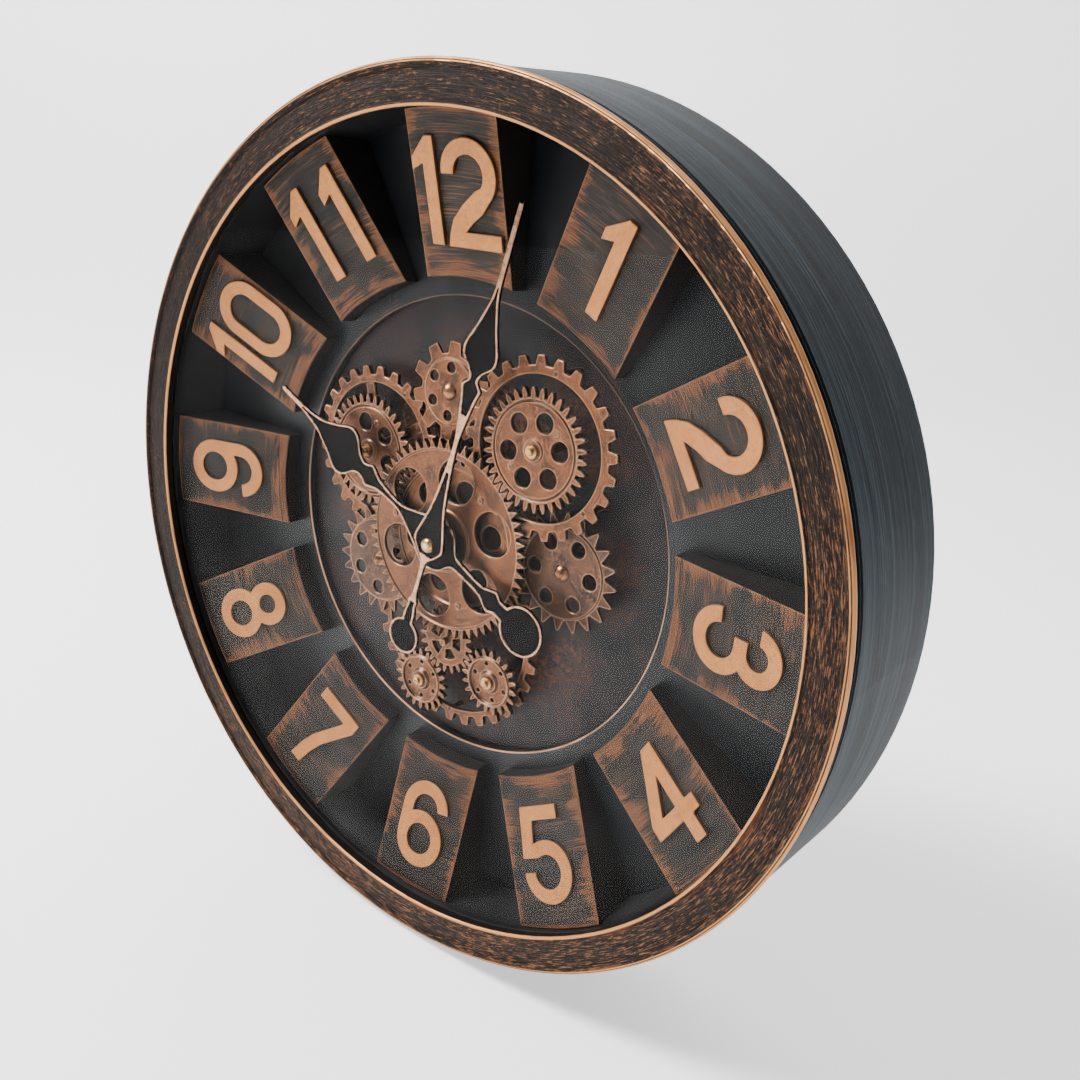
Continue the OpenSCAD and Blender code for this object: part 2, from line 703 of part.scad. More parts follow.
// Points given as shares of half the digit's width and height
function digit_points(shares) = [for (p = shares) [p[0] * number_w / 2, p[1] * number_h / 2]];
module digit(n) {
    w = number_w;
    h = number_h;
    s = number_stroke;
    r = w / 2;
    top = h / 2;
    q = (h + s) / 4;
    more = s * eight_share;
    if (n == 0) difference() {
        stadium(w, h);
        stadium(w - 2 * s, h - 2 * s);
    }
    if (n == 1) let (right = w * one_w_share / 2, flag_y = top - flag_share * h)
        polygon([[right - s, -top], [right, -top], [right, top], [right - one_flat_share * s, top],
            [-right, flag_y], [-right, flag_y - flag_end_share * s], [right - s, top - flag_slope * s]]);
    if (n == 2) translate([0, top - r]) {
        bow(r, two_turn, two_end);
        translate([0, r - top]) polygon(concat(
            [for (d = [r - s * two_join_share, r - s * (1 - two_join_share)])
                [0, top - r] + on_circle(d, two_join_turn)],
            digit_points(two_left_shares), [[-r, -top], [r, -top], [r, s - top],
            [-two_inner_share * r, s - top]], digit_points(two_right_shares)));
    }
    if (n == 3) {
        translate([0, top - q + more]) bow(q - more, -90, three_end);
        translate([0, q + more - top]) bow(q + more, -three_end, 90);
        translate([-q / 3, 2 * more - s / 2]) square([q / 2, s]);
    }
    if (n == 4) {
        stem_x = r - s - four_stub_share * s;
        bar_y = four_share * h - top;
        slope = (top - bar_y - s) / (stem_x + r);
        inner_w = stem_x + r - s * norm([1, slope]) / slope;
        difference() {
            polygon([[-r, bar_y], [stem_x, bar_y], [stem_x, -top], [stem_x + s, -top], [stem_x + s, bar_y],
                [r, bar_y], [r, bar_y + s], [stem_x + s, bar_y + s], [stem_x + s, top], [stem_x, top],
                [-r, bar_y + s]]);
            translate([stem_x, bar_y + s]) polygon([[0, 0], [-inner_w, 0], [0, inner_w * slope]]);
        }
    }
    if (n == 5) let (gap_h = five_gap_share * s, bar_x = five_bar_share * w - r) difference() {
        union() {
            translate([0, r - top]) bow(r, 0, 360);
            polygon([[-r, r - top + gap_h / 2], [s - r, r - top + gap_h / 2],
                [five_lean - r + s, top - s], [bar_x, top - s], [bar_x, top], [five_lean - r, top]]);
        }
        translate([-r - cut, r - top]) square([r + cut - (r - s) / 2, gap_h]);
    }
    if (n == 6 || n == 9) rotate(n == 9 ? 180 : 0) {
        translate([0, r - top]) bow(r, 0, 360);
        translate([-r, r - top]) square([s, h - w]);
        translate([0, top - r]) bow(r, six_end, 180);
    }
    if (n == 7) polygon(concat([[-r, top], [-r, top - s], [seven_neck_share * r, top - s]],
        digit_points(seven_left_shares), digit_points(seven_right_shares), [[r, top - s], [r, top]]));
    if (n == 8) {
        translate([0, q + more - top]) bow(q + more, 0, 360);
        translate([0, top - q + more]) bow(q - more, 0, 360);
    }
}
function digit_w(n) = n == 1 ? number_w * one_w_share : number_w;
module number(n) {
    if (n < 10) digit(n);
    else let (units = n - 10, gap = units == 1 ? eleven_gap : digit_gap) {
        translate([-(digit_w(units) + gap) / 2, 0]) digit(1);
        translate([(digit_w(1) + gap) / 2, 0]) digit(units);
    }
}
module numeral(n) stand() color(gold_c) rotate(-hour_step * n) translate([0, number_mid_r, number_mid_z])
    rotate([block_tilt, 0, 0]) rotate(n > 3 && n < 9 ? 180 : 0) linear_extrude(number_t) number(n);

// Plate that carries the gears, with the holes for every stud, rivet and post
module each_stud_spot() {
    at(upper_right_at) children();
    at(upper_left_at) children();
    at(bottom_left_at) children();
    at(bottom_right_at) children();
}
module each_star_spot() {
    at(right_star_at) children();
    at(left_star_at) children();
    at(top_gear_at) children();
}
module high_post_spots() at(upper_right_at) ring_of(post_count, ring_post_circle, high_post_turn) children();
module low_post_spots() at(upper_left_at) ring_of(post_count, ring_post_circle, low_post_turn) children();
module arch_post_spots() at(arch_at)
    for (a = arch_post_angles) rotate(a) translate([arch_post_circle, 0, 0]) children();
module each_post_spot() {
    high_post_spots() children();
    low_post_spots() children();
    arch_post_spots() children();
}
module gear_plate() stand() color(black_c) difference() {
    translate([0, 0, plate_back_z]) cylinder(r = plate_r, h = plate_t, $fn = 128);
    translate([0, 0, plate_back_z - cut]) {
        cylinder(r = bush_r, h = plate_t + 2 * cut);
        at(pinion_at) cylinder(r = stud_r + run_fit + bush_wall, h = plate_t + 2 * cut);
        each_stud_spot() cylinder(r = stud_r, h = plate_t + 2 * cut);
        each_star_spot() cylinder(r = rivet_shank_r, h = plate_t + 2 * cut, $fn = 32);
        each_post_spot() cylinder(r = post_pin_r, h = plate_t + 2 * cut, $fn = 32);
        ring_of(screw_count, plate_screw_r, plate_screw_turn)
            cylinder(r = pilot_r, h = plate_t + 2 * cut, $fn = 32);
    }
}

// Screws: a flat head at the back and a shank towards the viewer
module screw(len) {
    translate([0, 0, -screw_head_t]) difference() {
        cylinder(r = screw_head_r, h = screw_head_t, $fn = 32);
        for (turn = [0, 90]) rotate(turn) translate([-screw_slot_len / 2, -screw_slot_w / 2, -cut])
            cube([screw_slot_len, screw_slot_w, screw_head_t / 2 + cut]);
    }
    cylinder(r = screw_r, h = len, $fn = 32);
}
module inner_screws() stand() color(steel_c) {
    ring_of(screw_count, dial_screw_r) translate([0, 0, dial_back_z - ledge_t])
        screw(ledge_t + dial_t - 2 * screw_end);
    ring_of(screw_count, plate_screw_r, plate_screw_turn) translate([0, 0, plate_back_z])
        screw(plate_t + well_drop - 2 * screw_end);
}
module cover_screws() stand() color(steel_c)
    ring_of(boss_count, boss_circle_r, boss_turn) translate([0, 0, cover_z])
        screw(cover_t + cover_screw_len - screw_end);

// Rear cover: a disc with one window for the clock movement and the gear drive
module rear_cover() stand() color(black_c) difference() {
    translate([0, 0, cover_z]) cylinder(r = cover_r, h = cover_t, $fn = 128);
    translate([0, 0, cover_z - cut]) {
        translate([0, (window_top + window_end) / 2, 0]) linear_extrude(cover_t + 2 * cut)
            round_rect(movement_w + 2 * window_play, window_top - window_end, corner_r);
        ring_of(boss_count, boss_circle_r, boss_turn) cylinder(r = pilot_r, h = cover_t + 2 * cut, $fn = 32);
        for (side = [-1, 1]) translate([side * rivet_x_share * hanger_w, hanger_y, 0])
            cylinder(r = rivet_r, h = cover_t + 2 * cut, $fn = 32);
        for (lift = [0, nail_travel]) translate([0, hanger_y + lift, 0])
            cylinder(r = nail_hole_r + nail_room, h = cover_t + 2 * cut);
    }
}
module hanger_plate() stand() color(steel_c) linear_extrude(hanger_t) difference() {
    translate([0, hanger_y]) round_rect(hanger_w, hanger_h, corner_r);
    translate([0, hanger_y]) circle(nail_hole_r);
    translate([-nail_slot_r, hanger_y]) square([2 * nail_slot_r, nail_travel]);
    translate([0, hanger_y + nail_travel]) circle(nail_slot_r);
    for (side = [-1, 1]) translate([side * rivet_x_share * hanger_w, hanger_y]) circle(rivet_r, $fn = 32);
}
module hanger_rivets() stand() color(steel_c)
    for (side = [-1, 1]) translate([side * rivet_x_share * hanger_w, hanger_y, 0]) {
        cylinder(r = rivet_r, h = cover_z + cover_t, $fn = 32);
        translate([0, 0, cover_z + cover_t]) cylinder(r = rivet_head_r, h = rivet_head_t, $fn = 32);
    }

// A cell's pocket, open to the back, and the contacts at its ends
module cell_pocket(y, back_z) {
    len = cell_len + cell_tip + 2 * contact_t;
    axis_z = back_z + cell_wall + cell_r;
    translate([-len / 2, y, axis_z]) rotate([0, 90, 0]) cylinder(r = cell_r + run_fit, h = len);
    translate([-len / 2, y - cell_r - run_fit, back_z - cut])
        cube([len, 2 * (cell_r + run_fit), cell_wall + cell_r + cut]);
}
module cell(y, back_z) translate([0, y, back_z + cell_wall + cell_r]) rotate([0, 90, 0]) {
    translate([0, 0, -(cell_len + cell_tip) / 2]) cylinder(r = cell_r, h = cell_len);
    translate([0, 0, (cell_len - cell_tip) / 2]) cylinder(r = cell_tip_r, h = cell_tip);
}
module contacts(y, back_z) for (side = [-1, 1])
    translate([side * (cell_len + cell_tip + contact_t) / 2, y, back_z + cell_wall + cell_r])
        cube([contact_t, contact_w, contact_w], center = true);
module batteries() stand() color(battery_c) {
    cell(movement_cell_y, movement_back_z);
    translate(drive_at) cell(drive_cell_y, drive_back_z);
}
module battery_contacts() stand() color(steel_c) {
    contacts(movement_cell_y, movement_back_z);
    translate(drive_at) contacts(drive_cell_y, drive_back_z);
}

// Clock movement: a moulded box with the works' chamber, the cell's pocket and a boss on the plate
module movement_box() stand() color(black_c) difference() {
    translate([0, 0, movement_back_z]) linear_extrude(movement_t)
        round_rect(movement_w, movement_w, corner_r);
    cell_pocket(movement_cell_y, movement_back_z);
    translate([0, 0, works_z]) {
        cylinder(r = hour_wheel_r + works_play, h = bush_z - works_z);
        at(knob_at) cylinder(r = set_wheel_r + works_play, h = bush_z - works_z);
    }
    translate([0, 0, works_z]) cylinder(r = bush_r, h = movement_t);
    at(knob_at, movement_back_z - cut) {
        cylinder(r = knob_stem_r + run_fit, h = works_z - movement_back_z + 2 * cut);
        cylinder(r = knob_r + end_play, h = knob_sink + cut);
    }
}
module movement_bush() stand() color(brass_c)
    translate([0, 0, bush_z]) tube(bush_r, hour_tube_r + run_fit, bush_top_z - bush_z);
module bush_nuts() stand() color(brass_c) {
    translate([0, 0, plate_z]) difference() {
        cylinder(r = clamp_nut_r, h = clamp_nut_h, $fn = 6);
        translate([0, 0, -cut]) cylinder(r = bush_r, h = clamp_nut_h + 2 * cut);
    }
    translate([0, 0, cap_nut_z]) tube(cap_nut_r, bush_r, cap_nut_h);
}

// Centre wheels: two wheels fixed to a sleeve that turns on the fixed bush
module centre_sleeve() stand() color(brass_c) difference() {
    union() {
        translate([0, 0, sleeve_z]) cylinder(r = sleeve_r, h = sleeve_top_z - sleeve_z);
        translate([0, 0, lower_z + gear_t])
            cylinder(r = sleeve_r + collar_w, h = upper_z - lower_z - gear_t);
    }
    translate([0, 0, sleeve_z - cut]) cylinder(r = bush_r + run_fit, h = sleeve_top_z - sleeve_z + 2 * cut);
}
module turning_gear(z, teeth, turn, tip, root) translate([0, 0, z])
    linear_extrude(gear_t) polygon(gear_outline(teeth, gear_module, turn, tip, root, backlash));
module face_recess(z, out_r, in_r) translate([0, 0, z + gear_t - web_drop])
    tube(out_r, in_r, web_drop + cut);
module centre_gear() stand() color(copper_c) {
    difference() {
        turning_gear(upper_z, centre_teeth, centre_turn, centre_tip_share, root_share);
        face_recess(upper_z, centre_rim_r, centre_hub_r);
        translate([0, 0, upper_z - cut]) {
            cylinder(r = sleeve_r, h = gear_t + 2 * cut);
            ring_of(holes, centre_hole_circle, centre_hole_turn)
                cylinder(r = centre_hole_r, h = gear_t + 2 * cut);
        }
    }
    ring_of(plugs, centre_plug_circle, centre_hole_turn + 180 / holes)
        translate([0, 0, upper_z + gear_t - 2 * web_drop]) cylinder(r = plug_r, h = 2 * web_drop, $fn = 32);
}
module lower_wheel() stand() color(copper_c) difference() {
    turning_gear(lower_z, lower_teeth, lower_turn, lower_tip_share, root_share);
    face_recess(lower_z, lower_rim_r, centre_hub_r);
    translate([0, 0, lower_z - cut]) {
        cylinder(r = sleeve_r, h = gear_t + 2 * cut);
        ring_of(holes, lower_hole_circle, lower_hole_turn) cylinder(r = lower_hole_r, h = gear_t + 2 * cut);
    }
}

// The two upper gears: six holes, two plugs, an engraved circle and a raised boss
module upper_gear(z, turn, hole_turn) {
    difference() {
        turning_gear(z, upper_teeth, turn, tip_share, upper_root_share);
        face_recess(z, upper_rim_r, upper_rim_r - groove_w);
        translate([0, 0, z - cut]) {
            cylinder(r = stud_r + run_fit, h = gear_t + 2 * cut);
            ring_of(holes, upper_hole_circle, hole_turn) cylinder(r = upper_hole_r, h = gear_t + 2 * cut);
        }
    }
    translate([0, 0, z + gear_t]) tube(gear_boss_r, stud_r + run_fit, gear_boss_h);
    ring_of(2, plug_circle, hole_turn + 180 / holes)
        translate([0, 0, z + gear_t - gear_boss_h / 2]) cylinder(r = plug_r, h = gear_boss_h, $fn = 32);
}
module upper_right_gear() stand() color(copper_c)
    at(upper_right_at) upper_gear(upper_z, upper_right_turn, upper_right_hole_turn);
module upper_left_gear() stand() color(copper_c)
    at(upper_left_at) upper_gear(lower_z, upper_left_turn, upper_left_hole_turn);

// Pinion and its arbor, which the drive turns
module pinion_gear() stand() color(copper_c) at(pinion_at) difference() {
    turning_gear(lower_z, pinion_teeth, pinion_turn, tip_share, pinion_root_share);
    translate([0, 0, lower_z - cut]) {
        cylinder(r = stud_r, h = gear_t + 2 * cut);
        linear_extrude(gear_t + 2 * cut)
            for (i = [0 : pinion_windows - 1]) rotate(pinion_window_turn + 360 * i / pinion_windows)
                intersection() {
                    difference() {
                        circle(pinion_window_r);
                        circle(pinion_hub_r);
                    }
                    pie(pinion_window_r, -pinion_window_angle / 2, pinion_window_angle / 2);
                }
    }
}
module pinion_arbor() stand() color(steel_c) at(pinion_at) {
    shoulder_z = plate_z + bush_flange_t + end_play;
    translate([0, 0, drive_wheel_z - drive_wheel_drop])
        cylinder(r = stud_r, h = lower_z + gear_t + arbor_tail - drive_wheel_z + drive_wheel_drop);
    translate([0, 0, drive_wheel_z]) cylinder(r = drive_wheel_r, h = drive_wheel_t);
    translate([0, 0, shoulder_z]) cylinder(r = shoulder_r, h = lower_z - shoulder_z);
}
module pinion_bush() stand() color(brass_c) at(pinion_at) {
    translate([0, 0, plate_back_z]) tube(stud_r + run_fit + bush_wall, stud_r + run_fit, plate_t);
    translate([0, 0, plate_z]) tube(bush_flange_r, stud_r + run_fit, bush_flange_t);
}
module drive_box() stand() color(black_c) difference() {
    translate([drive_at[0], drive_at[1], drive_back_z])
        linear_extrude(drive_t) round_rect(drive_w, drive_w, corner_r);
    translate(drive_at) cell_pocket(drive_cell_y, drive_back_z);
    at(pinion_at, drive_wheel_z - drive_wheel_drop - end_play) {
        cylinder(r = drive_wheel_r + works_play, h = drive_wheel_drop + drive_wheel_t + 2 * end_play);
        cylinder(r = stud_r + run_fit, h = drive_t);
    }
}

// The two bottom gears: a dished face with four small holes
module bottom_gear(turn) {
    difference() {
        turning_gear(lower_z, pinion_teeth, turn, tip_share, pinion_root_share);
        face_recess(lower_z, dish_rim_r - dish_rim_w, dish_hub_r);
        translate([0, 0, lower_z - cut]) {
            cylinder(r = stud_r + run_fit, h = gear_t + 2 * cut);
            ring_of(holes, dish_hole_circle, turn) cylinder(r = dish_hole_r, h = gear_t + 2 * cut, $fn = 32);
        }
    }
    translate([0, 0, lower_z + gear_t]) {
        tube(gear_boss_r, stud_r + run_fit, gear_boss_h);
        tube(dish_rim_r, dish_rim_r - dish_rim_w, gear_boss_h);
    }
}
module bottom_left_gear() stand() color(copper_c) at(bottom_left_at) bottom_gear(bottom_left_turn);
module bottom_right_gear() stand() color(copper_c) at(bottom_right_at) bottom_gear(bottom_right_turn);

// Posts, studs and nuts: each turning gear runs on a stud between its post and the stud's head
module post(p, z) at(p, plate_z) tube(shoulder_r, stud_r, z - end_play - plate_z);
module gear_posts() stand() color(bronze_c) {
    post(upper_right_at, upper_z);
    post(upper_left_at, lower_z);
    post(bottom_left_at, lower_z);
    post(bottom_right_at, lower_z);
}
module stud(p, z) {
    head_z = z + gear_t + gear_boss_h + end_play;
    foot_z = plate_back_z - stud_nut_h;
    at(p, foot_z) cylinder(r = stud_r, h = head_z - foot_z);
    at(p, head_z) cylinder(r = stud_head_r, h = stud_head_h);
    at(p, head_z + stud_head_h) cylinder(r = stud_r, h = stud_tip_h);
    at(p, head_z + stud_head_h + stud_tip_h) intersection() {
        sphere(stud_r);
        cylinder(r = stud_r, h = stud_r / 2);
    }
}
module gear_studs() stand() color(brass_c) {
    stud(upper_right_at, upper_z);
    stud(upper_left_at, lower_z);
    stud(bottom_left_at, lower_z);
    stud(bottom_right_at, lower_z);
}
module stud_nuts() stand() color(steel_c)
    each_stud_spot() translate([0, 0, plate_back_z - stud_nut_h]) difference() {
        cylinder(r = stud_nut_r, h = stud_nut_h, $fn = 6);
        translate([0, 0, -cut]) cylinder(r = stud_r, h = stud_nut_h + 2 * cut);
    }

// Rings and star gears that stand still
module ring_teeth_2d(teeth, tip, tooth_h, turn)
    polygon(toothed_outline(teeth, tip - tooth_h, tip, ring_root_share, ring_tip_share, turn));
module upper_right_ring() stand() color(copper_c) at(upper_right_at) difference() {
    translate([0, 0, high_ring_z]) linear_extrude(high_ring_t) difference() {
        ring_teeth_2d(ring_teeth, ring_tip_r, ring_tooth_h, high_ring_turn);
        circle(ring_tip_r - ring_tooth_h - ring_band);
    }
    ring_of(post_count, ring_post_circle, high_post_turn) translate([0, 0, high_ring_z - cut])
        cylinder(r = post_pin_r, h = high_ring_t + 2 * cut, $fn = 32);
}
module upper_left_ring() stand() color(copper_c) at(upper_left_at) difference() {
    union() {
        translate([0, 0, low_ring_z]) linear_extrude(ring_t) difference() {
            ring_teeth_2d(ring_teeth, ring_tip_r, ring_tooth_h, low_ring_turn);
            circle(ring_tip_r - ring_tooth_h - ring_band);
        }
        translate([0, 0, low_ring_z]) linear_extrude(ring_t - spoke_drop) {
            circle(ring_hub_r);
            for (i = [0 : spoke_count - 1]) rotate(spoke_turn + 360 * i / spoke_count)
                translate([0, -spoke_w / 2]) square([ring_tip_r - ring_tooth_h - ring_band / 2, spoke_w]);
        }
    }
    translate([0, 0, low_ring_z - cut]) {
        cylinder(r = shoulder_r + seat_gap, h = ring_t + 2 * cut);
        ring_of(post_count, ring_post_circle, low_post_turn)
            cylinder(r = post_pin_r, h = ring_t + 2 * cut, $fn = 32);
    }
}
module bottom_ring() stand() color(copper_c) at(arch_at) difference() {
    translate([0, 0, low_ring_z]) linear_extrude(ring_t) difference() {
        ring_teeth_2d(arch_teeth, arch_tip_r, arch_tooth_h, arch_turn);
        circle(arch_tip_r - arch_tooth_h - arch_band);
        pie(arch_tip_r, 90 - arch_open_angle / 2, 90 + arch_open_angle / 2);
    }
    translate([0, 0, low_ring_z - cut])
        for (a = arch_post_angles) rotate(a) translate([arch_post_circle, 0, 0])
            cylinder(r = post_pin_r, h = ring_t + 2 * cut, $fn = 32);
}
module still_gear(teeth, tip, tooth_h, shares, turn, hole_r, hole_circle, hole_turn, disc_r, disc_h) {
    difference() {
        union() {
            linear_extrude(star_t - disc_h)
                polygon(toothed_outline(teeth, tip - tooth_h, tip, shares[0], shares[1], turn));
            cylinder(r = disc_r, h = star_t);
        }
        translate([0, 0, -cut]) {
            cylinder(r = rivet_shank_r, h = star_t + 2 * cut, $fn = 32);
            ring_of(holes, hole_circle, hole_turn) cylinder(r = hole_r, h = star_t + 2 * cut);
        }
    }
}
module star_gear(turn) still_gear(star_teeth, star_tip_r, star_tooth_h, [star_root_share, star_tip_part],
    turn, star_hole_r, star_hole_circle, turn, star_disc_r, star_disc_h);
module right_star_gear() stand() color(bronze_c) at(right_star_at, star_z) star_gear(right_star_turn);
module left_star_gear() stand() color(bronze_c) at(left_star_at, star_z) star_gear(left_star_turn);
module top_gear() stand() color(bronze_c) at(top_gear_at, star_z)
    still_gear(top_teeth, top_tip_r, top_tooth_h, [top_root_share, top_tip_share],
        top_gear_turn, top_hole_r, top_hole_circle, top_hole_turn, top_disc_r, star_disc_h);
module spacer_posts() stand() color(bronze_c) {
    each_star_spot() translate([0, 0, plate_z]) tube(waist_r, rivet_shank_r, star_z - plate_z);
    high_post_spots() pinned_post(high_ring_z, high_ring_t);
    low_post_spots() pinned_post(low_ring_z, ring_t);
    arch_post_spots() pinned_post(low_ring_z, ring_t);
}
module pinned_post(z, t) {
    translate([0, 0, plate_z]) cylinder(r = post_r, h = z - plate_z, $fn = 32);
    translate([0, 0, plate_back_z]) cylinder(r = post_pin_r, h = z + t - plate_back_z, $fn = 32);
}
module dome_rivets() stand() color(brass_c) each_star_spot() {
    face_z = star_z + star_t;
    ball_r = (dome_r * dome_r + dome_h * dome_h) / 2 / dome_h;
    translate([0, 0, plate_back_z]) cylinder(r = rivet_shank_r, h = face_z - plate_back_z, $fn = 32);
    translate([0, 0, face_z]) intersection() {
        translate([0, 0, dome_h - ball_r]) sphere(ball_r);
        cylinder(r = dome_r, h = dome_h);
    }
}

// Hands: an outline from stations along the hand, each with its half width as a share
function both_sides(list, len, half) =
    let (left = [for (p = smooth(list, curve_steps)) [-half * max(p[1], thin_share), len * p[0]]])
    concat(left, [for (i = [len(left) - 1 : -1 : 0]) [-left[i][0], left[i][1]]]);
module hand_2d(list, len, half, disc, disc_r) {
    polygon(both_sides(list, len, half));
    translate([0, len * disc]) circle(disc_r);
}
module hand_pockets(pockets, len, half, disc, disc_r) {
    for (list = pockets) polygon(both_sides([for (p = list) [p[0], p[1] - border_w / half]], len, half));
    translate([0, len * disc]) circle(disc_r - border_w);
}
module hour_tube() stand() color(brass_c) {
    translate([0, 0, hour_wheel_z])
        tube(hour_tube_r, minute_arbor_r + run_fit, hour_z + hand_t - hour_wheel_z);
    translate([0, 0, hour_wheel_z]) linear_extrude(wheel_t) difference() {
        polygon(gear_outline(hour_teeth, hour_module, hour_wheel_turn,
            works_wheel_share, works_root_share, works_backlash));
        circle(hour_tube_r);
    }
}
module hour_flat() hand_2d(hour_shares, hour_len, hour_half_w, hour_disc_share, hour_disc_r);
module hour_hand() stand() color(black_c) rotate(-hour_rest) translate([0, 0, hour_z])
    linear_extrude(hand_t) difference() {
        hour_flat();
        circle(hour_tube_r);
    }
module hour_hand_rim() stand() color(gold_c) rotate(-hour_rest) translate([0, 0, hour_z + hand_t])
    linear_extrude(border_t) difference() {
        hour_flat();
        hand_pockets([hour_body_shares], hour_len, hour_half_w, hour_disc_share, hour_disc_r);
    }
module minute_arbor() stand() color(steel_c) {
    translate([0, 0, minute_wheel_z]) cylinder(r = minute_arbor_r, h = minute_z - minute_wheel_z);
    translate([0, 0, minute_z]) cylinder(r = arbor_end, h = hand_t + nut_h);
    translate([0, 0, minute_wheel_z]) linear_extrude(wheel_t) polygon(gear_outline(cannon_teeth,
        works_module, knob_angle, works_pinion_share, works_root_share, works_backlash));
}
module minute_flat() hand_2d(minute_shares, minute_len, minute_half_w, minute_disc_share, minute_disc_r);
module minute_hand() stand() color(black_c) rotate(-minute_rest) translate([0, 0, minute_z])
    linear_extrude(hand_t) difference() {
        minute_flat();
        circle(arbor_end);
    }
module minute_hand_rim() stand() color(gold_c) rotate(-minute_rest) translate([0, 0, minute_z + hand_t])
    linear_extrude(border_t) difference() {
        minute_flat();
        hand_pockets([minute_leaf_shares, minute_hub_shares, minute_tail_shares],
            minute_len, minute_half_w, minute_disc_share, minute_disc_r);
    }
module hand_nut() stand() color(brass_c) translate([0, 0, minute_z + hand_t]) difference() {
    union() {
        cylinder(r = hand_nut_r, h = nut_h / 2);
        translate([0, 0, nut_h / 2]) cylinder(r1 = hand_nut_r, r2 = hand_nut_r - nut_h / 2, h = nut_h / 2);
    }
    translate([0, 0, -cut]) cylinder(r = arbor_end, h = nut_h + 2 * cut);
}

// Setting knob: a ribbed knob at the back, on the stem of the wheel that drives the hour wheel
module set_knob() stand() color(black_c) at(knob_at) {
    knob_z = movement_back_z + knob_sink - end_play - knob_t;
    translate([0, 0, knob_z]) {
        cylinder(r = knob_r - knob_rib_r, h = knob_t);
        ring_of(knob_ribs, knob_r - knob_rib_r) cylinder(r = knob_rib_r, h = knob_t, $fn = 32);
    }
    translate([0, 0, knob_z + knob_t]) cylinder(r = knob_stem_r, h = minute_wheel_z - knob_z - knob_t);
    translate([0, 0, minute_wheel_z]) linear_extrude(wheel_t) polygon(gear_outline(set_teeth,
        works_module, set_turn, works_wheel_share, works_root_share, works_backlash));
    translate([0, 0, minute_wheel_z]) linear_extrude(hour_wheel_z + wheel_t - minute_wheel_z)
        polygon(gear_outline(set_pinion_teeth, hour_module, set_pinion_turn,
            works_pinion_share, works_root_share, works_backlash));
}

module numeral_1() numeral(1);
module numeral_2() numeral(2);
module numeral_3() numeral(3);
module numeral_4() numeral(4);
module numeral_5() numeral(5);
module numeral_6() numeral(6);
module numeral_7() numeral(7);
module numeral_8() numeral(8);
module numeral_9() numeral(9);
module numeral_10() numeral(10);
module numeral_11() numeral(11);
module numeral_12() numeral(12);

// Only the pieces asked for are drawn
case_shell();
bezel();
glass_lens();
lens_gasket();
dial_ring();
side_band();
number_blocks();
numeral_1();
numeral_2();
numeral_3();
numeral_4();
numeral_5();
numeral_6();
numeral_7();
numeral_8();
numeral_9();
numeral_10();
numeral_11();
numeral_12();
gear_plate();
inner_screws();
rear_cover();
cover_screws();
hanger_plate();
hanger_rivets();
movement_box();
movement_bush();
bush_nuts();
batteries();
battery_contacts();
centre_sleeve();
centre_gear();
lower_wheel();
hour_tube();
hour_hand();
hour_hand_rim();
minute_arbor();
minute_hand();
minute_hand_rim();
hand_nut();
set_knob();
drive_box();
pinion_arbor();
pinion_gear();
pinion_bush();
upper_right_gear();
upper_left_gear();
bottom_left_gear();
bottom_right_gear();
gear_posts();
gear_studs();
stud_nuts();
upper_right_ring();
upper_left_ring();
bottom_ring();
right_star_gear();
left_star_gear();
top_gear();
spacer_posts();
dome_rivets();
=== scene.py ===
import bmesh
import bpy
import json
import math
from mathutils import Matrix, Vector


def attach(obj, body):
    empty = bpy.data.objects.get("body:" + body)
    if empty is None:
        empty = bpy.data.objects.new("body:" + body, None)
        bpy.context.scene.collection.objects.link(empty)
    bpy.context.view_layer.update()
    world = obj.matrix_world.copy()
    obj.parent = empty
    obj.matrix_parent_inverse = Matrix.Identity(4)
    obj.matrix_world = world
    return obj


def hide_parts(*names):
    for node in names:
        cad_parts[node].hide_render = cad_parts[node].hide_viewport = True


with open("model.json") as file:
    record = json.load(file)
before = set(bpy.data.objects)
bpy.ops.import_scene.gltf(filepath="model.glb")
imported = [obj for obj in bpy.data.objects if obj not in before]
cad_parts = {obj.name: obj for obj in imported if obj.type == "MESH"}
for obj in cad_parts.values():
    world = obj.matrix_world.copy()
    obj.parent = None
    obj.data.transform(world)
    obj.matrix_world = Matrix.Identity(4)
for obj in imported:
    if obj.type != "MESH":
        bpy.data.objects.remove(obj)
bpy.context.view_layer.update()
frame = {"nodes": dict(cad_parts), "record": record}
nodes = frame["nodes"]
bodies = frame["record"]["behaviour"]["bodies"]
body_of_node = {n: b for b, members in bodies.items() for n in members}

# Sizes of the clock, as in the CAD: metres from its centre, with the dial facing -Y
BLOCK_HALF = 0.0275      # half the width of a number block
BLOCK_IN_R = 0.1344      # inner ends of the blocks
BLOCK_OUT_R = 0.2107     # outer ends of the blocks
BLOCK_PITCH = math.radians(30.0)
WELL_R = 0.125           # round well in the dial
RIM_IN_R = 0.2096        # inner edge of the bezel
RIM_OUT_R = 0.230        # outer edge of the bezel
FLOOR_Z = -0.234         # lowest point of the case

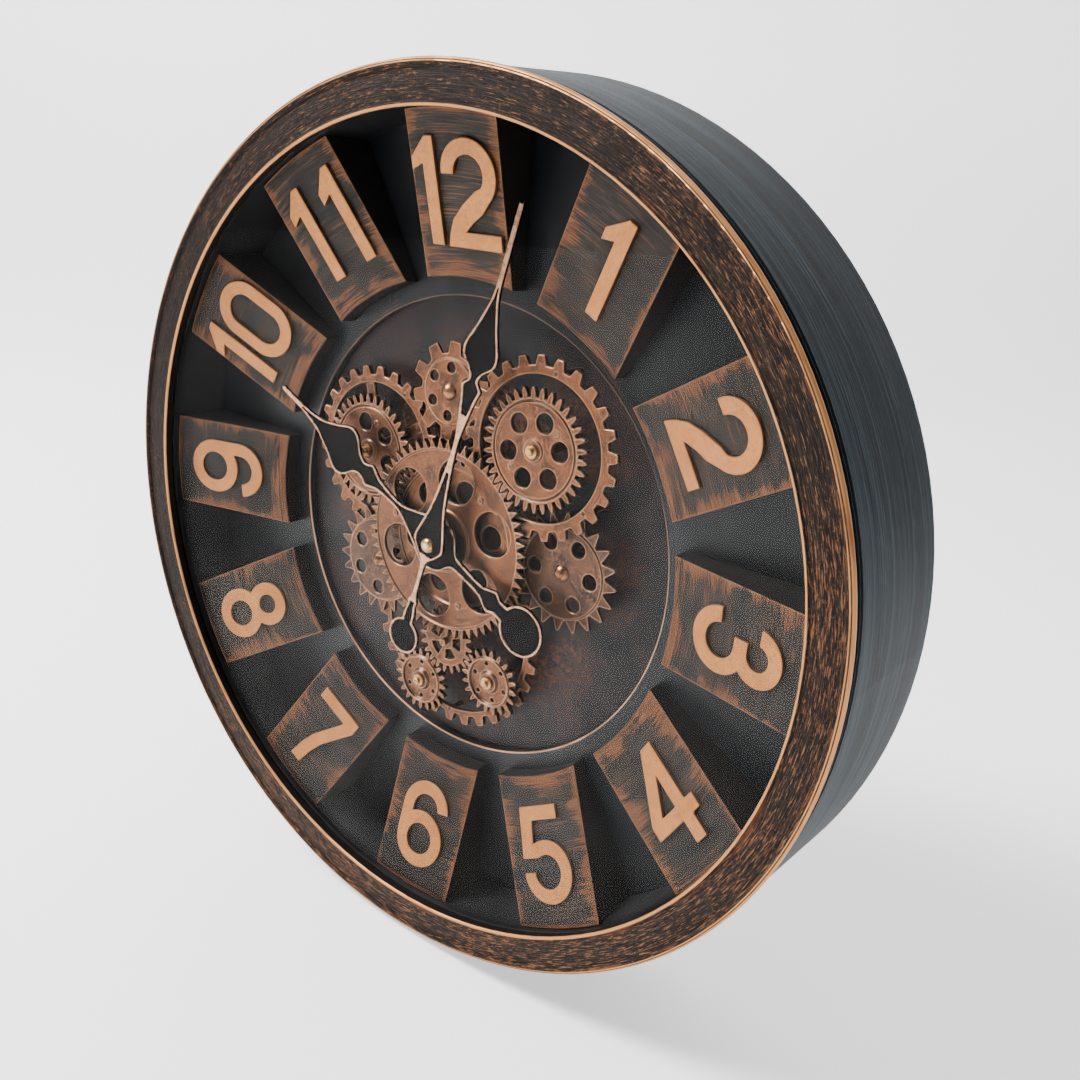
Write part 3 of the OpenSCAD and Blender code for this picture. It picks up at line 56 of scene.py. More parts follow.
# Where the bezel's paint changes: (start, end) of each fade, in radius and in height
LIP_R = (RIM_IN_R + 0.0015, RIM_IN_R + 0.0010)
LIP_Y = (-0.0402, -0.0409)
INSIDE_R = (RIM_IN_R + 0.0021, RIM_IN_R + 0.0014)
INSIDE_Y = (-0.0407, -0.0401)
SKIRT_R = (RIM_OUT_R - 0.0040, RIM_OUT_R - 0.0030)
SKIRT_Y = (-0.0396, -0.0388)
BEAD_R = (RIM_OUT_R - 0.0024, RIM_OUT_R - 0.0020)
BEAD_Y = (-0.0388, -0.0396)
GROOVE_START = (RIM_OUT_R - 0.0018, RIM_OUT_R - 0.0016)
GROOVE_END = (RIM_OUT_R - 0.0010, RIM_OUT_R - 0.0012)
RUB_IN_R = (RIM_IN_R + 0.0050, RIM_IN_R + 0.0015)
RUB_OUT_R = (RIM_OUT_R - 0.0042, RIM_OUT_R - 0.0026)

# Widths of the rounded edges, in metres
GEAR_ROUND = 0.00035
BRASS_ROUND = 0.0003
HAND_ROUND = 0.0002
NUMBER_ROUND = 0.0006
BLOCK_ROUND = 0.0007
DIAL_ROUND = 0.0005
SHARP_ANGLE = math.radians(28.0)   # only edges sharper than this are rounded
FLAT_ANGLE = math.radians(0.6)     # faces this close to one plane are joined first
WELD = 1e-6                        # vertices closer than this are one

# Colours (linear)
WHITE = (1.0, 1.0, 1.0)
BLACK = (0.006, 0.0055, 0.006)
DARK_STAIN_AND_SHADE = (0.012, 0.0105, 0.0105)
BROWN = (0.035, 0.021, 0.015)
UMBER = (0.052, 0.023, 0.012)
BRONZE = (0.085, 0.040, 0.022)
COPPER = (0.33, 0.118, 0.043)
COPPER_DEEP = (0.155, 0.050, 0.019)
TAN = (0.25, 0.122, 0.060)
GOLD = (0.50, 0.235, 0.088)
GEAR_LOW = (0.085, 0.028, 0.011)
GEAR_HIGH = (0.170, 0.060, 0.023)
GEAR_FLECK = (0.36, 0.150, 0.064)
GEAR_EDGE_WEAR_AND_HIGHLIGHT = (0.66, 0.33, 0.165)
BRASS_EDGE_HIGHLIGHT = (0.8, 0.55, 0.28)
STEEL_LOW = (0.36, 0.36, 0.37)
STEEL_HIGH = (0.6, 0.6, 0.6)
RIM_BROWN = (0.014, 0.0095, 0.0075)
RIM_FLECK = (0.105, 0.060, 0.034)
RIM_HAIR = (0.042, 0.026, 0.018)
RIM_WORN = (0.26, 0.105, 0.045)
RIM_LINE = (0.30, 0.125, 0.050)
RIM_INSIDE = (0.009, 0.0065, 0.0055)
RIM_SKIRT = (0.0055, 0.0085, 0.0115)
CASE_LOW = (0.0024, 0.0045, 0.0067)
CASE_HIGH = (0.0090, 0.0149, 0.0203)
CASE_STROKE = (0.028, 0.044, 0.055)
CASE_LIGHT = (0.086, 0.116, 0.132)
DIAL_LOW = (0.0060, 0.0068, 0.0080)
DIAL_HIGH = (0.013, 0.0130, 0.0145)
DIAL_RUST = (0.075, 0.036, 0.020)
DIAL_SPECK = (0.12, 0.11, 0.10)
WELL_LINE_AND_HIGHLIGHT = (0.55, 0.28, 0.15)
BLOCK_LOW = (0.0055, 0.0045, 0.004)
BLOCK_HIGH = (0.016, 0.0115, 0.009)
BLOCK_HAIR = (0.046, 0.026, 0.016)
BLOCK_RUB = (0.175, 0.066, 0.026)
BLOCK_WALL = (0.007, 0.0062, 0.006)
BLOCK_EDGE_HIGHLIGHT = (0.60, 0.30, 0.145)
PLATE_LOW = (0.0050, 0.0040, 0.0046)
PLATE_HIGH = (0.0165, 0.0112, 0.0112)
NUMBER_LOW = (0.35, 0.112, 0.015)
NUMBER_HIGH = (0.43, 0.152, 0.026)
NUMBER_GRAIN = (0.17, 0.062, 0.022)
NUMBER_GLINT = (0.56, 0.25, 0.07)
NUMBER_WALL = (0.105, 0.040, 0.016)
NUMBER_EDGE_HIGHLIGHT = (0.68, 0.37, 0.17)
BORDER_LOW = (0.34, 0.165, 0.088)
BORDER_HIGH = (0.52, 0.29, 0.17)
GLASS_TINT = (0.985, 0.99, 0.99)
PAPER = (0.92, 0.92, 0.92)
COOL = (0.93, 0.96, 1.0)

# Stage
SWEEP_START = 1.6        # where the floor begins to rise behind the clock
SWEEP_R = 0.7
SWEEP_STEPS = 24
FLOOR_FRONT = -4.0
WALL_AT = 2.3
WALL_TOP = 5.0
FLOOR_HALF_WIDTH = 6.0
FLOOR_TURN = math.radians(35.0)
PAPER_GLOW = 0.85
WORLD_GLOW = 0.12

# Camera, fitted to the photograph
CAMERA_AT = Vector((0.33486, -0.40429, 0.18363))
CAMERA_RIGHT = Vector((0.79702, 0.59823, 0.08294))
CAMERA_UP = Vector((-0.26213, 0.21893, 0.93987))
CAMERA_BACK = Vector((0.54410, -0.77084, 0.33130))
SENSOR_WIDTH = 36.0
LENS = 34.25
CLIP_START = 0.01


# Small helpers for building shaders
class Tree:
    """A material and its nodes."""

    def __init__(self, name):
        self.mat = bpy.data.materials.new(name)
        self.mat.use_nodes = True
        self.t = self.mat.node_tree
        self.t.nodes.clear()
        self.out = self.t.nodes.new("ShaderNodeOutputMaterial")
        self._coord = None
        self._polar = {}

    def node(self, kind, **props):
        n = self.t.nodes.new(kind)
        for k, v in props.items():
            setattr(n, k, v)
        return n

    def put(self, socket, value):
        if isinstance(value, bpy.types.NodeSocket):
            self.t.links.new(value, socket)
        elif value is not None:
            socket.default_value = value

    def put_color(self, socket, value):
        self.put(socket, value if isinstance(value, bpy.types.NodeSocket) else (*value, 1.0))

    def math(self, op, a, b=None, c=None, clamp=False):
        n = self.node("ShaderNodeMath", operation=op, use_clamp=clamp)
        for i, v in enumerate((a, b, c)):
            if v is not None:
                self.put(n.inputs[i], v)
        return n.outputs[0]

    def plus(self, a, b):
        return self.math("ADD", a, b)

    def minus(self, a, b):
        return self.math("SUBTRACT", a, b)

    def times(self, a, b):
        return self.math("MULTIPLY", a, b)

    def times_plus(self, a, factor, offset):
        return self.math("MULTIPLY_ADD", a, factor, offset)

    def larger(self, a, b):
        return self.math("MAXIMUM", a, b)

    def coord(self):
        if self._coord is None:
            self._coord = self.node("ShaderNodeTexCoord").outputs["Object"]
        return self._coord

    def xyz(self, vec=None):
        n = self.node("ShaderNodeSeparateXYZ")
        self.put(n.inputs[0], vec or self.coord())
        return n.outputs

    def vec(self, x, y, z):
        n = self.node("ShaderNodeCombineXYZ")
        for i, v in enumerate((x, y, z)):
            self.put(n.inputs[i], v)
        return n.outputs[0]

    def polar(self, cx=0.0, cz=0.0):
        """Radius and angle about an axis along Y through cx, cz, and the height along Y."""
        key = (cx, cz)
        if key not in self._polar:
            x, y, z = self.xyz()
            dx = self.minus(x, cx)
            dz = self.minus(z, cz)
            r = self.math("SQRT", self.plus(self.times(dx, dx), self.times(dz, dz)))
            self._polar[key] = (r, self.math("ARCTAN2", dx, dz), y)
        return self._polar[key]

    def streaks(self, across, along, cx=0.0, cz=0.0, seed=0.0, detail=6.0, rough=0.62):
        """Noise drawn out along circles: across lines per metre, along waves per radian."""
        r, a, y = self.polar(cx, cz)
        v = self.vec(self.times(self.math("SINE", a), along), self.times_plus(r, across, seed),
                     self.times_plus(y, across, self.times(self.math("COSINE", a), along)))
        return self.noise(v, 1.0, detail, rough)

    def noise(self, vec, scale, detail, rough, distortion=0.0):
        n = self.node("ShaderNodeTexNoise")
        self.put(n.inputs["Vector"], vec)
        n.inputs["Scale"].default_value = scale
        n.inputs["Detail"].default_value = detail
        n.inputs["Roughness"].default_value = rough
        n.inputs["Distortion"].default_value = distortion
        return n.outputs["Fac"]

    def spots(self, scale, detail=5.0, rough=0.6, seed=0.0, distortion=0.0):
        """Cloudy noise; the seed moves it to another place in the pattern."""
        m = self.node("ShaderNodeVectorMath", operation="ADD")
        self.put(m.inputs[0], self.coord())
        m.inputs[1].default_value = (seed, seed * 0.7, seed * 1.3)
        return self.noise(m.outputs[0], scale, detail, rough, distortion)

    def step(self, value, low, high, a=0.0, b=1.0):
        """A smooth change from a to b as value goes from low to high."""
        n = self.node("ShaderNodeMapRange", interpolation_type="SMOOTHSTEP")
        self.put(n.inputs["Value"], value)
        self.put(n.inputs["From Min"], low)
        self.put(n.inputs["From Max"], high)
        n.inputs["To Min"].default_value = a
        n.inputs["To Max"].default_value = b
        return n.outputs["Result"]

    def zone(self, a, a_fade, b, b_fade):
        """1 where both values are past their fades."""
        return self.times(self.step(a, *a_fade), self.step(b, *b_fade))

    def mix(self, fac, a, b):
        n = self.node("ShaderNodeMix", data_type="RGBA")
        self.put(n.inputs["Factor"], fac)
        self.put_color(n.inputs[6], a)
        self.put_color(n.inputs[7], b)
        return n.outputs[2]

    def blend(self, fac, a, b):
        n = self.node("ShaderNodeMix", data_type="FLOAT")
        self.put(n.inputs["Factor"], fac)
        self.put(n.inputs[2], a)
        self.put(n.inputs[3], b)
        return n.outputs[0]

    def bump(self, height, strength, distance):
        n = self.node("ShaderNodeBump")
        self.put(n.inputs["Strength"], strength)
        n.inputs["Distance"].default_value = distance
        self.put(n.inputs["Height"], height)
        return n.outputs[0]

    def edges(self, radius):
        """Near 1 on a sharp edge, 0 on a flat face."""
        bev = self.node("ShaderNodeBevel", samples=4)
        bev.inputs["Radius"].default_value = radius
        geo = self.node("ShaderNodeNewGeometry")
        dot = self.node("ShaderNodeVectorMath", operation="DOT_PRODUCT")
        self.put(dot.inputs[0], bev.outputs[0])
        self.put(dot.inputs[1], geo.outputs["Normal"])
        return self.step(dot.outputs["Value"], 0.995, 0.86)

    def crowded(self, distance, low, high):
        """1 deep between other parts, 0 where the surface stands free."""
        n = self.node("ShaderNodeAmbientOcclusion", samples=6)
        n.inputs["Distance"].default_value = distance
        return self.step(n.outputs["AO"], low, high)

    def front(self, low=-0.6, high=-0.93):
        """1 on faces that look out of the dial, 0 on walls and backs."""
        geo = self.node("ShaderNodeNewGeometry")
        return self.step(self.xyz(geo.outputs["Normal"])[1], low, high)

    def surface(self, color, rough, metal=0.0, normal=None, spec=None):
        p = self.node("ShaderNodeBsdfPrincipled")
        self.put_color(p.inputs["Base Color"], color)
        self.put(p.inputs["Roughness"], rough)
        self.put(p.inputs["Metallic"], metal)
        if normal is not None:
            self.put(p.inputs["Normal"], normal)
        if spec is not None:
            self.put(p.inputs["Specular IOR Level"], spec)
        self.t.links.new(p.outputs[0], self.out.inputs[0])
        return self.mat


# Materials
def gear_material(name, cx, cz, dark, seed):
    """Worn copper, or dark bronze, with turning marks round the gear's own centre; walls and backs
    darkened as painted shade, crowded places darkened partly as patina and partly as painted
    shade, front edges lightened partly as wear and partly as a painted highlight.
    """
    t = Tree(name)
    ring = t.streaks(1100.0, 3.0, cx, cz, seed)
    patch = t.spots(95.0, 6.0, 0.65, seed, 0.6)
    fine = t.spots(700.0, 4.0, 0.7, seed + 3.0)
    edge = t.edges(0.0010)
    top = t.front()
    worn = t.plus(t.times(ring, 0.35), t.times(patch, 0.65))
    low, high, stain, fleck = ((BROWN, BRONZE, DARK_STAIN_AND_SHADE, COPPER) if dark
                               else (GEAR_LOW, GEAR_HIGH, UMBER, GEAR_FLECK))
    base = t.mix(t.step(worn, 0.40, 0.60), low, high)
    base = t.mix(t.step(patch, 0.48, 0.38), base, stain)
    base = t.mix(t.times(t.step(fine, 0.52, 0.64), 0.5), base, fleck)
    marks = t.streaks(2200.0, 1.0, cx, cz, seed + 5.0)
    base = t.mix(t.times(t.step(marks, 0.50, 0.42), 0.55), base, UMBER)
    # walls and backs of the gear darkened to brown: painted shade
    base = t.mix(t.times(t.step(top, 1.0, 0.0), 0.8), base, BROWN)
    # darker where other parts crowd close: partly patina in the hollows, partly painted shade
    # between the parts
    base = t.mix(t.crowded(0.009, 0.80, 0.34), base, DARK_STAIN_AND_SHADE)
    # front edges lightened to pale copper: partly worn edges, partly a painted highlight
    color = t.mix(t.times(edge, top), base, GEAR_EDGE_WEAR_AND_HIGHLIGHT)
    rough = t.step(worn, 0.3, 0.7, 0.28, 0.46)
    height = t.plus(t.times(ring, 0.4), t.times(fine, 0.6))
    return t.surface(color, rough, 0.8, t.bump(height, 0.4, 0.0003))


def brass_material(name, low, high, seed=0.0):
    t = Tree(name)
    n = t.spots(160.0, 4.0, 0.6, seed)
    color = t.mix(t.step(n, 0.35, 0.65), low, high)
    # edges lightened to pale brass: painted highlight
    color = t.mix(t.times(t.edges(0.0006), 0.4), color, BRASS_EDGE_HIGHLIGHT)
    return t.surface(color, t.step(n, 0.3, 0.7, 0.24, 0.36), 0.9, t.bump(n, 0.05, 0.0002))


def steel_material():
    t = Tree("steel")
    n = t.spots(800.0, 4.0, 0.6)
    return t.surface(t.mix(n, STEEL_LOW, STEEL_HIGH), t.step(n, 0.3, 0.7, 0.25, 0.4), 1.0,
                     t.bump(n, 0.1, 0.0002))


def plain_material(name, low, high, rough, metal=0.0, scale=600.0, bump=0.25, spec=0.3):
    """Paint, plastic or rubber with a fine grain."""
    t = Tree(name)
    n = t.spots(scale, 5.0, 0.65)
    color = t.mix(t.step(n, 0.3, 0.7), low, high)
    gloss = t.step(n, 0.25, 0.75, rough - 0.05, rough + 0.07)
    return t.surface(color, gloss, metal, t.bump(n, bump, 0.0002), spec=spec)


def rim_material():
    """Dark bezel with worn strokes, a gilt lip and bead, and a blue-black skirt."""
    t = Tree("rim")
    r, _, y = t.polar()
    x, _, z = t.xyz()
    dash = t.streaks(1850.0, 36.0, seed=2.0, detail=4.0, rough=0.65)
    hair = t.streaks(2900.0, 14.0, seed=14.0, detail=3.0, rough=0.6)
    broad = t.streaks(300.0, 9.0, seed=9.0, detail=5.0, rough=0.6)
    patch = t.spots(26.0, 5.0, 0.65, 4.0)
    # the paint is rubbed most at the bottom and least at the top
    side = t.times_plus(t.times_plus(x, 0.25, t.times(z, -1.0)), 0.12, 0.0)
    level = t.plus(t.plus(dash, side), t.times_plus(patch, 0.16, -0.08))
    worn = t.step(level, 0.555, 0.640)
    near = t.larger(t.step(r, *RUB_IN_R), t.step(r, *RUB_OUT_R))
    rub = t.times(near, t.step(t.plus(broad, t.times(side, 2.0)), 0.53, 0.68))
    lip = t.zone(r, LIP_R, y, LIP_Y)
    inside = t.zone(r, INSIDE_R, y, INSIDE_Y)
    skirt = t.zone(r, SKIRT_R, y, SKIRT_Y)
    bead = t.zone(r, BEAD_R, y, BEAD_Y)
    groove = t.zone(r, GROOVE_START, r, GROOVE_END)
    bead = t.times(bead, t.times_plus(groove, -0.9, 1.0))
    base = t.mix(t.step(dash, 0.42, 0.56), BLACK, RIM_BROWN)
    fleck = t.times(t.step(t.spots(560.0, 4.0, 0.7, 21.0), 0.56, 0.66),
                    t.step(patch, 0.40, 0.62, 0.15, 0.7))
    base = t.mix(fleck, base, RIM_FLECK)
    # at the far left the strokes fade out: painted shade on that side
    left_shade_fade = t.step(x, -0.215, -0.12, 0.25, 1.0)
    base = t.mix(t.times(t.step(hair, 0.48, 0.62), t.times(left_shade_fade, 0.75)), base, RIM_HAIR)
    color = t.mix(t.times(worn, t.times(left_shade_fade, 0.68)), base,
                  t.mix(t.step(patch, 0.4, 0.6), TAN, RIM_WORN))
    color = t.mix(t.times(rub, 0.7), color, COPPER_DEEP)
    line = t.mix(t.step(broad, 0.30, 0.50), RIM_LINE, GOLD)
    color = t.mix(t.larger(lip, bead), color, line)
    color = t.mix(inside, color, RIM_INSIDE)
    color = t.mix(skirt, color, RIM_SKIRT)
    metal = t.larger(t.larger(lip, bead), t.times(rub, 0.5))
    metal = t.times(metal, t.minus(1.0, t.larger(inside, skirt)))
    height = t.plus(t.times(dash, 0.8), t.times(broad, 0.2))
    # the lip and the bead are smoother than the strokes
    relief = t.bump(height, t.times_plus(t.larger(lip, bead), -0.75, 0.85), 0.0010)
    rough = t.step(dash, 0.45, 0.7, 0.46, 0.60)
    return t.surface(color, rough, t.times(metal, 0.7), relief, spec=0.06)


def case_material():
    """Blue-black paint with lighter strokes that run round the case."""
    t = Tree("case")
    fine = t.streaks(1300.0, 3.5, seed=1.0, detail=7.0, rough=0.75)
    thin = t.streaks(520.0, 1.6, seed=7.0, detail=3.0, rough=0.7)
    broad = t.streaks(110.0, 2.0, seed=5.0, detail=4.0, rough=0.6)
    cloud = t.spots(9.0, 4.0, 0.6, 2.0)
    area = t.step(t.plus(broad, cloud), 0.85, 1.15)
    light = t.times(t.step(fine, 0.50, 0.66), t.times_plus(area, 0.8, 0.2))
    color = t.mix(t.step(broad, 0.38, 0.62), CASE_LOW, CASE_HIGH)
    color = t.mix(t.times(t.step(thin, 0.52, 0.68), 0.8), color, CASE_STROKE)
    color = t.mix(t.times(light, 0.75), color, CASE_LIGHT)
    rough = t.step(fine, 0.35, 0.65, 0.42, 0.55)
    return t.surface(color, rough, 0.0, t.bump(t.plus(fine, thin), 0.3, 0.0004), spec=0.06)


def dial_material():
    """Near-black dial, rusty beside the well, with a copper line on the well's edge that is
    brighter towards the bottom: partly copper paint, partly a painted highlight.
    """
    t = Tree("dial")
    r, _, y = t.polar()
    cloud = t.spots(24.0, 4.0, 0.55)
    streak = t.streaks(600.0, 4.0, seed=3.0)
    speck = t.spots(900.0, 3.0, 0.6, 5.0)
    color = t.mix(t.step(cloud, 0.3, 0.7), DIAL_LOW, DIAL_HIGH)
    near = t.times(t.step(r, WELL_R + 0.010, WELL_R + 0.001), t.step(streak, 0.52, 0.68))
    color = t.mix(t.times(near, 0.7), color, DIAL_RUST)
    color = t.mix(t.times(t.step(speck, 0.70, 0.76), 0.35), color, DIAL_SPECK)
    # copper line on the well's edge, strongest towards the bottom: partly copper paint, partly a
    # painted highlight
    line = t.times(t.step(r, WELL_R + 0.0009, WELL_R + 0.0004),
                   t.step(y, 0.0009, 0.0014, 1.0, 0.0))
    line = t.times(line, t.step(t.xyz()[2], 0.05, -0.05, 0.2, 1.0))
    color = t.mix(t.times(line, t.step(cloud, 0.32, 0.52, 0.35, 1.0)), color, WELL_LINE_AND_HIGHLIGHT)
    rough = t.step(cloud, 0.3, 0.7, 0.32, 0.42)
    return t.surface(color, rough, 0.0, t.bump(cloud, 0.02, 0.0003), spec=0.2)


def block_material():
    """Number blocks: brushed round the dial, rubbed to copper near their edges, with a painted
    highlight on the front edges.
    """
    t = Tree("blocks")
    r, a, _ = t.polar()
    fold = t.math("FLOORED_MODULO", t.plus(a, BLOCK_PITCH / 2), BLOCK_PITCH)
    fold = t.minus(fold, BLOCK_PITCH / 2)
    across = t.math("ABSOLUTE", t.times(r, t.math("SINE", fold)))
    along = t.times(r, t.math("COSINE", fold))
    side = t.minus(BLOCK_HALF, across)
    inner = t.minus(r, BLOCK_IN_R)
    outer = t.minus(BLOCK_OUT_R, along)
    streak = t.streaks(1250.0, 5.0, seed=6.0, detail=4.0, rough=0.62)
    hair = t.streaks(2600.0, 7.0, seed=17.0, detail=3.0, rough=0.6)
    broad = t.streaks(170.0, 4.0, seed=11.0, detail=5.0, rough=0.6)
    patch = t.spots(34.0, 5.0, 0.6, 8.0)
    stroke = t.plus(t.times(streak, 0.6), t.times(broad, 0.4))
    # how far the rubbing reaches in from an edge changes from place to place
    reach = t.larger(t.times_plus(patch, 0.060, -0.0215), 0.0015)
    border_share = t.math("DIVIDE", t.math("MINIMUM", side, t.times(inner, 0.75)), reach)
    near = t.math("SUBTRACT", 1.0, border_share, clamp=True)
    near = t.larger(near, t.step(outer, 0.0040, 0.0005, 0.0, 0.8))
    rub = t.step(t.times_plus(near, 0.20, stroke), 0.585, 0.645)
    thin = t.times(t.step(streak, 0.54, 0.62), t.step(patch, 0.42, 0.60))
    top = t.front(-0.75, -0.93)
    base = t.mix(t.step(broad, 0.35, 0.65), BLOCK_LOW, BLOCK_HIGH)
    color = t.mix(t.times(thin, 0.34), base, TAN)
    color = t.mix(t.times(t.step(hair, 0.50, 0.62), t.step(patch, 0.36, 0.56, 0.15, 0.75)),
                  color, BLOCK_HAIR)
    color = t.mix(t.times(rub, t.step(hair, 0.38, 0.58, 0.22, 0.8)), color, BLOCK_RUB)
    walls = t.mix(t.times(t.step(streak, 0.5, 0.65), 0.2), BLOCK_WALL, UMBER)
    color = t.mix(top, walls, color)
    # front edges lightened to bright copper: painted highlight
    edge = t.times(t.edges(0.0010), top)
    color = t.mix(t.times(edge, t.step(broad, 0.35, 0.55, 0.4, 1.0)), color, BLOCK_EDGE_HIGHLIGHT)
    metal = t.times(t.larger(t.times(rub, 0.45), t.times(edge, 0.85)), top)
    rough = t.blend(edge, t.step(streak, 0.35, 0.65, 0.40, 0.54), 0.30)
    return t.surface(color, rough, metal, t.bump(stroke, 0.35, 0.0005), spec=0.14)


def plate_material():
    """Dark plate in the well, dusted with copper towards its middle."""
    t = Tree("gear_plate")
    r, _, _ = t.polar()
    cloud = t.spots(20.0, 5.0, 0.62, 1.0)
    dust = t.spots(430.0, 5.0, 0.78, 4.0)
    middle = t.step(r, 0.122, 0.060)
    patch = t.times(t.step(cloud, 0.42, 0.58), t.times_plus(middle, 0.85, 0.12))
    base = t.mix(t.step(cloud, 0.3, 0.7), PLATE_LOW, PLATE_HIGH)
    color = t.mix(t.times(patch, t.step(dust, 0.44, 0.62)), base, COPPER_DEEP)
    color = t.mix(t.times(t.step(dust, 0.62, 0.70), t.times_plus(patch, 0.6, 0.15)), color, TAN)
    rough = t.step(dust, 0.3, 0.7, 0.38, 0.5)
    return t.surface(color, rough, 0.1, t.bump(dust, 0.3, 0.0004), spec=0.2)


def number_material():
    """Grainy gold paint on the numbers, with edges brightened as a painted highlight and brown
    walls.
    """
    t = Tree("numbers")
    grain = t.spots(520.0, 6.0, 0.72, 2.0)
    cloud = t.spots(60.0, 4.0, 0.6, 6.0)
    top = t.front(-0.5, -0.9)
    edge = t.times(t.edges(0.0008), t.step(t.front(0.2, -0.3), 0.0, 1.0))
    face = t.mix(t.step(cloud, 0.3, 0.7), NUMBER_LOW, NUMBER_HIGH)
    face = t.mix(t.times(t.step(grain, 0.52, 0.64), 0.55), face, NUMBER_GRAIN)
    face = t.mix(t.times(t.step(grain, 0.44, 0.36), 0.30), face, NUMBER_GLINT)
    color = t.mix(top, NUMBER_WALL, face)
    # edges brightened to pale copper: painted highlight
    color = t.mix(t.times(edge, 0.7), color, NUMBER_EDGE_HIGHLIGHT)
    rough = t.step(grain, 0.3, 0.7, 0.36, 0.5)
    return t.surface(color, rough, t.blend(edge, 0.4, 0.85), t.bump(grain, 0.22, 0.0004))


def border_material():
    """Copper of the raised borders of the hands."""
    t = Tree("hand_border")
    n = t.spots(240.0, 4.0, 0.6)
    color = t.mix(t.step(n, 0.3, 0.7), BORDER_LOW, BORDER_HIGH)
    return t.surface(color, t.step(n, 0.3, 0.7, 0.24, 0.32), 0.8, t.bump(n, 0.05, 0.0002))


def glass_material():
    """Clear glass with a thin film of gloss, thicker towards the bottom."""
    t = Tree("glass")
    clear = t.node("ShaderNodeBsdfTransparent")
    t.put_color(clear.inputs[0], GLASS_TINT)
    gloss = t.node("ShaderNodeBsdfGlossy")
    gloss.inputs["Roughness"].default_value = 0.015
    slant = t.node("ShaderNodeLayerWeight")
    slant.inputs["Blend"].default_value = 0.5
    shine = t.times_plus(t.math("POWER", slant.outputs["Facing"], 5.0), 0.96, 0.04)
    smear = t.spots(7.0, 5.0, 0.6)
    film = t.times(t.step(smear, 0.3, 0.7, 0.035, 0.115),
                   t.step(t.xyz()[2], 0.02, -0.17, 1.0, 1.9))
    mix = t.node("ShaderNodeMixShader")
    t.put(mix.inputs[0], t.times(shine, film))
    t.put(mix.inputs[1], clear.outputs[0])
    t.put(mix.inputs[2], gloss.outputs[0])
    t.t.links.new(mix.outputs[0], t.out.inputs[0])
    return t.mat


# Dressing the pieces
def add(name, data):
    o = bpy.data.objects.new(name, data)
    bpy.context.scene.collection.objects.link(o)
    return o


def paint(node, mat):
    materials = nodes[node].data.materials
    materials.clear()
    materials.append(mat)


def soften(node, mat, width, segments=2, merge=True):
    """A copy of a CAD node with its sharp edges rounded stands for it."""
    mesh = nodes[node].data.copy()
    o = add("soft_" + node, mesh)
    mesh.materials.clear()
    mesh.materials.append(mat)
    bm = bmesh.new()
    bm.from_mesh(mesh)
    bmesh.ops.remove_doubles(bm, verts=bm.verts, dist=WELD)
    if merge:
        bmesh.ops.dissolve_limit(bm, angle_limit=FLAT_ANGLE, verts=bm.verts, edges=bm.edges)
    bm.to_mesh(mesh)
    bm.free()
    b = o.modifiers.new("round", "BEVEL")
    b.width = width
    b.segments = segments
    b.limit_method = "ANGLE"
    b.angle_limit = SHARP_ANGLE
    b.use_clamp_overlap = False      # clamping leaves the mesh open
    for p in mesh.polygons:
        p.use_smooth = False
    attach(o, body_of_node[node])
    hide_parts(node)


brass = brass_material("brass", (0.36, 0.18, 0.066), (0.56, 0.32, 0.13))
copper_stud = brass_material("copper_stud", (0.15, 0.062, 0.028), (0.30, 0.135, 0.066), 5.0)
steel = steel_material()
black_plastic = plain_material("black_plastic", (0.006, 0.006, 0.006), (0.014, 0.014, 0.014), 0.45)
hand_black = plain_material("hand_black", (0.002, 0.0018, 0.0018), (0.005, 0.004, 0.004), 0.55,
                            scale=300.0, bump=0.06, spec=0.03)
rubber = plain_material("rubber", (0.008, 0.008, 0.008), (0.016, 0.016, 0.016), 0.7)
jacket = plain_material("cell_jacket", (0.03, 0.10, 0.06), (0.05, 0.14, 0.09), 0.3,
                        metal=0.2, scale=200.0, bump=0.05)
numbers = number_material()
border = border_material()

for n in nodes:
    paint(n, black_plastic)
paint("case_shell", case_material())
paint("bezel", rim_material())
paint("glass_lens", glass_material())
paint("lens_gasket", rubber)
paint("side_band", plain_material("side_band", (0.005, 0.005, 0.006), (0.012, 0.011, 0.012), 0.38,
                                  scale=40.0, bump=0.05))
paint("gear_plate", plate_material())
for n in ("movement_bush", "hour_tube", "pinion_bush"):
    paint(n, brass)
for n in ("bush_nuts", "centre_sleeve", "hand_nut", "gear_studs"):
    soften(n, brass, BRASS_ROUND, merge=False)
soften("dome_rivets", copper_stud, BRASS_ROUND, merge=False)
paint("pinion_arbor", copper_stud)
for n in ("inner_screws", "cover_screws", "hanger_plate", "hanger_rivets", "battery_contacts",
          "minute_arbor", "stud_nuts"):
    paint(n, steel)
paint("batteries", jacket)
for n in ("hour_hand", "minute_hand"):
    paint(n, hand_black)
# each gear: centre in x and z, whether it is dark bronze, and the seed of its pattern
GEARS = {
    "centre_gear": (0.0, 0.0, False, 1.0),
    "lower_wheel": (0.0, 0.0, False, 2.0),
    "upper_right_gear": (0.05372, 0.06041, False, 3.0),
    "upper_right_ring": (0.05372, 0.06041, False, 4.0),
    "upper_left_gear": (-0.06352, 0.03441, False, 5.0),
    "upper_left_ring": (-0.06352, 0.03441, False, 6.0),
    "pinion_gear": (0.00032, -0.0602, False, 7.0),
    "bottom_left_gear": (-0.01688, -0.08999, False, 8.0),
    "bottom_right_gear": (0.03186, -0.07392, False, 9.0),
    "bottom_ring": (0.0003, -0.0548, False, 10.0),
    "right_star_gear": (0.0699, -0.0003, True, 11.0),
    "left_star_gear": (-0.056, -0.0295, True, 12.0),
    "top_gear": (-0.01, 0.0762, False, 13.0),
}
for n, (cx, cz, dark, seed) in GEARS.items():
    soften(n, gear_material(n, cx, cz, dark, seed), GEAR_ROUND, segments=1, merge=False)
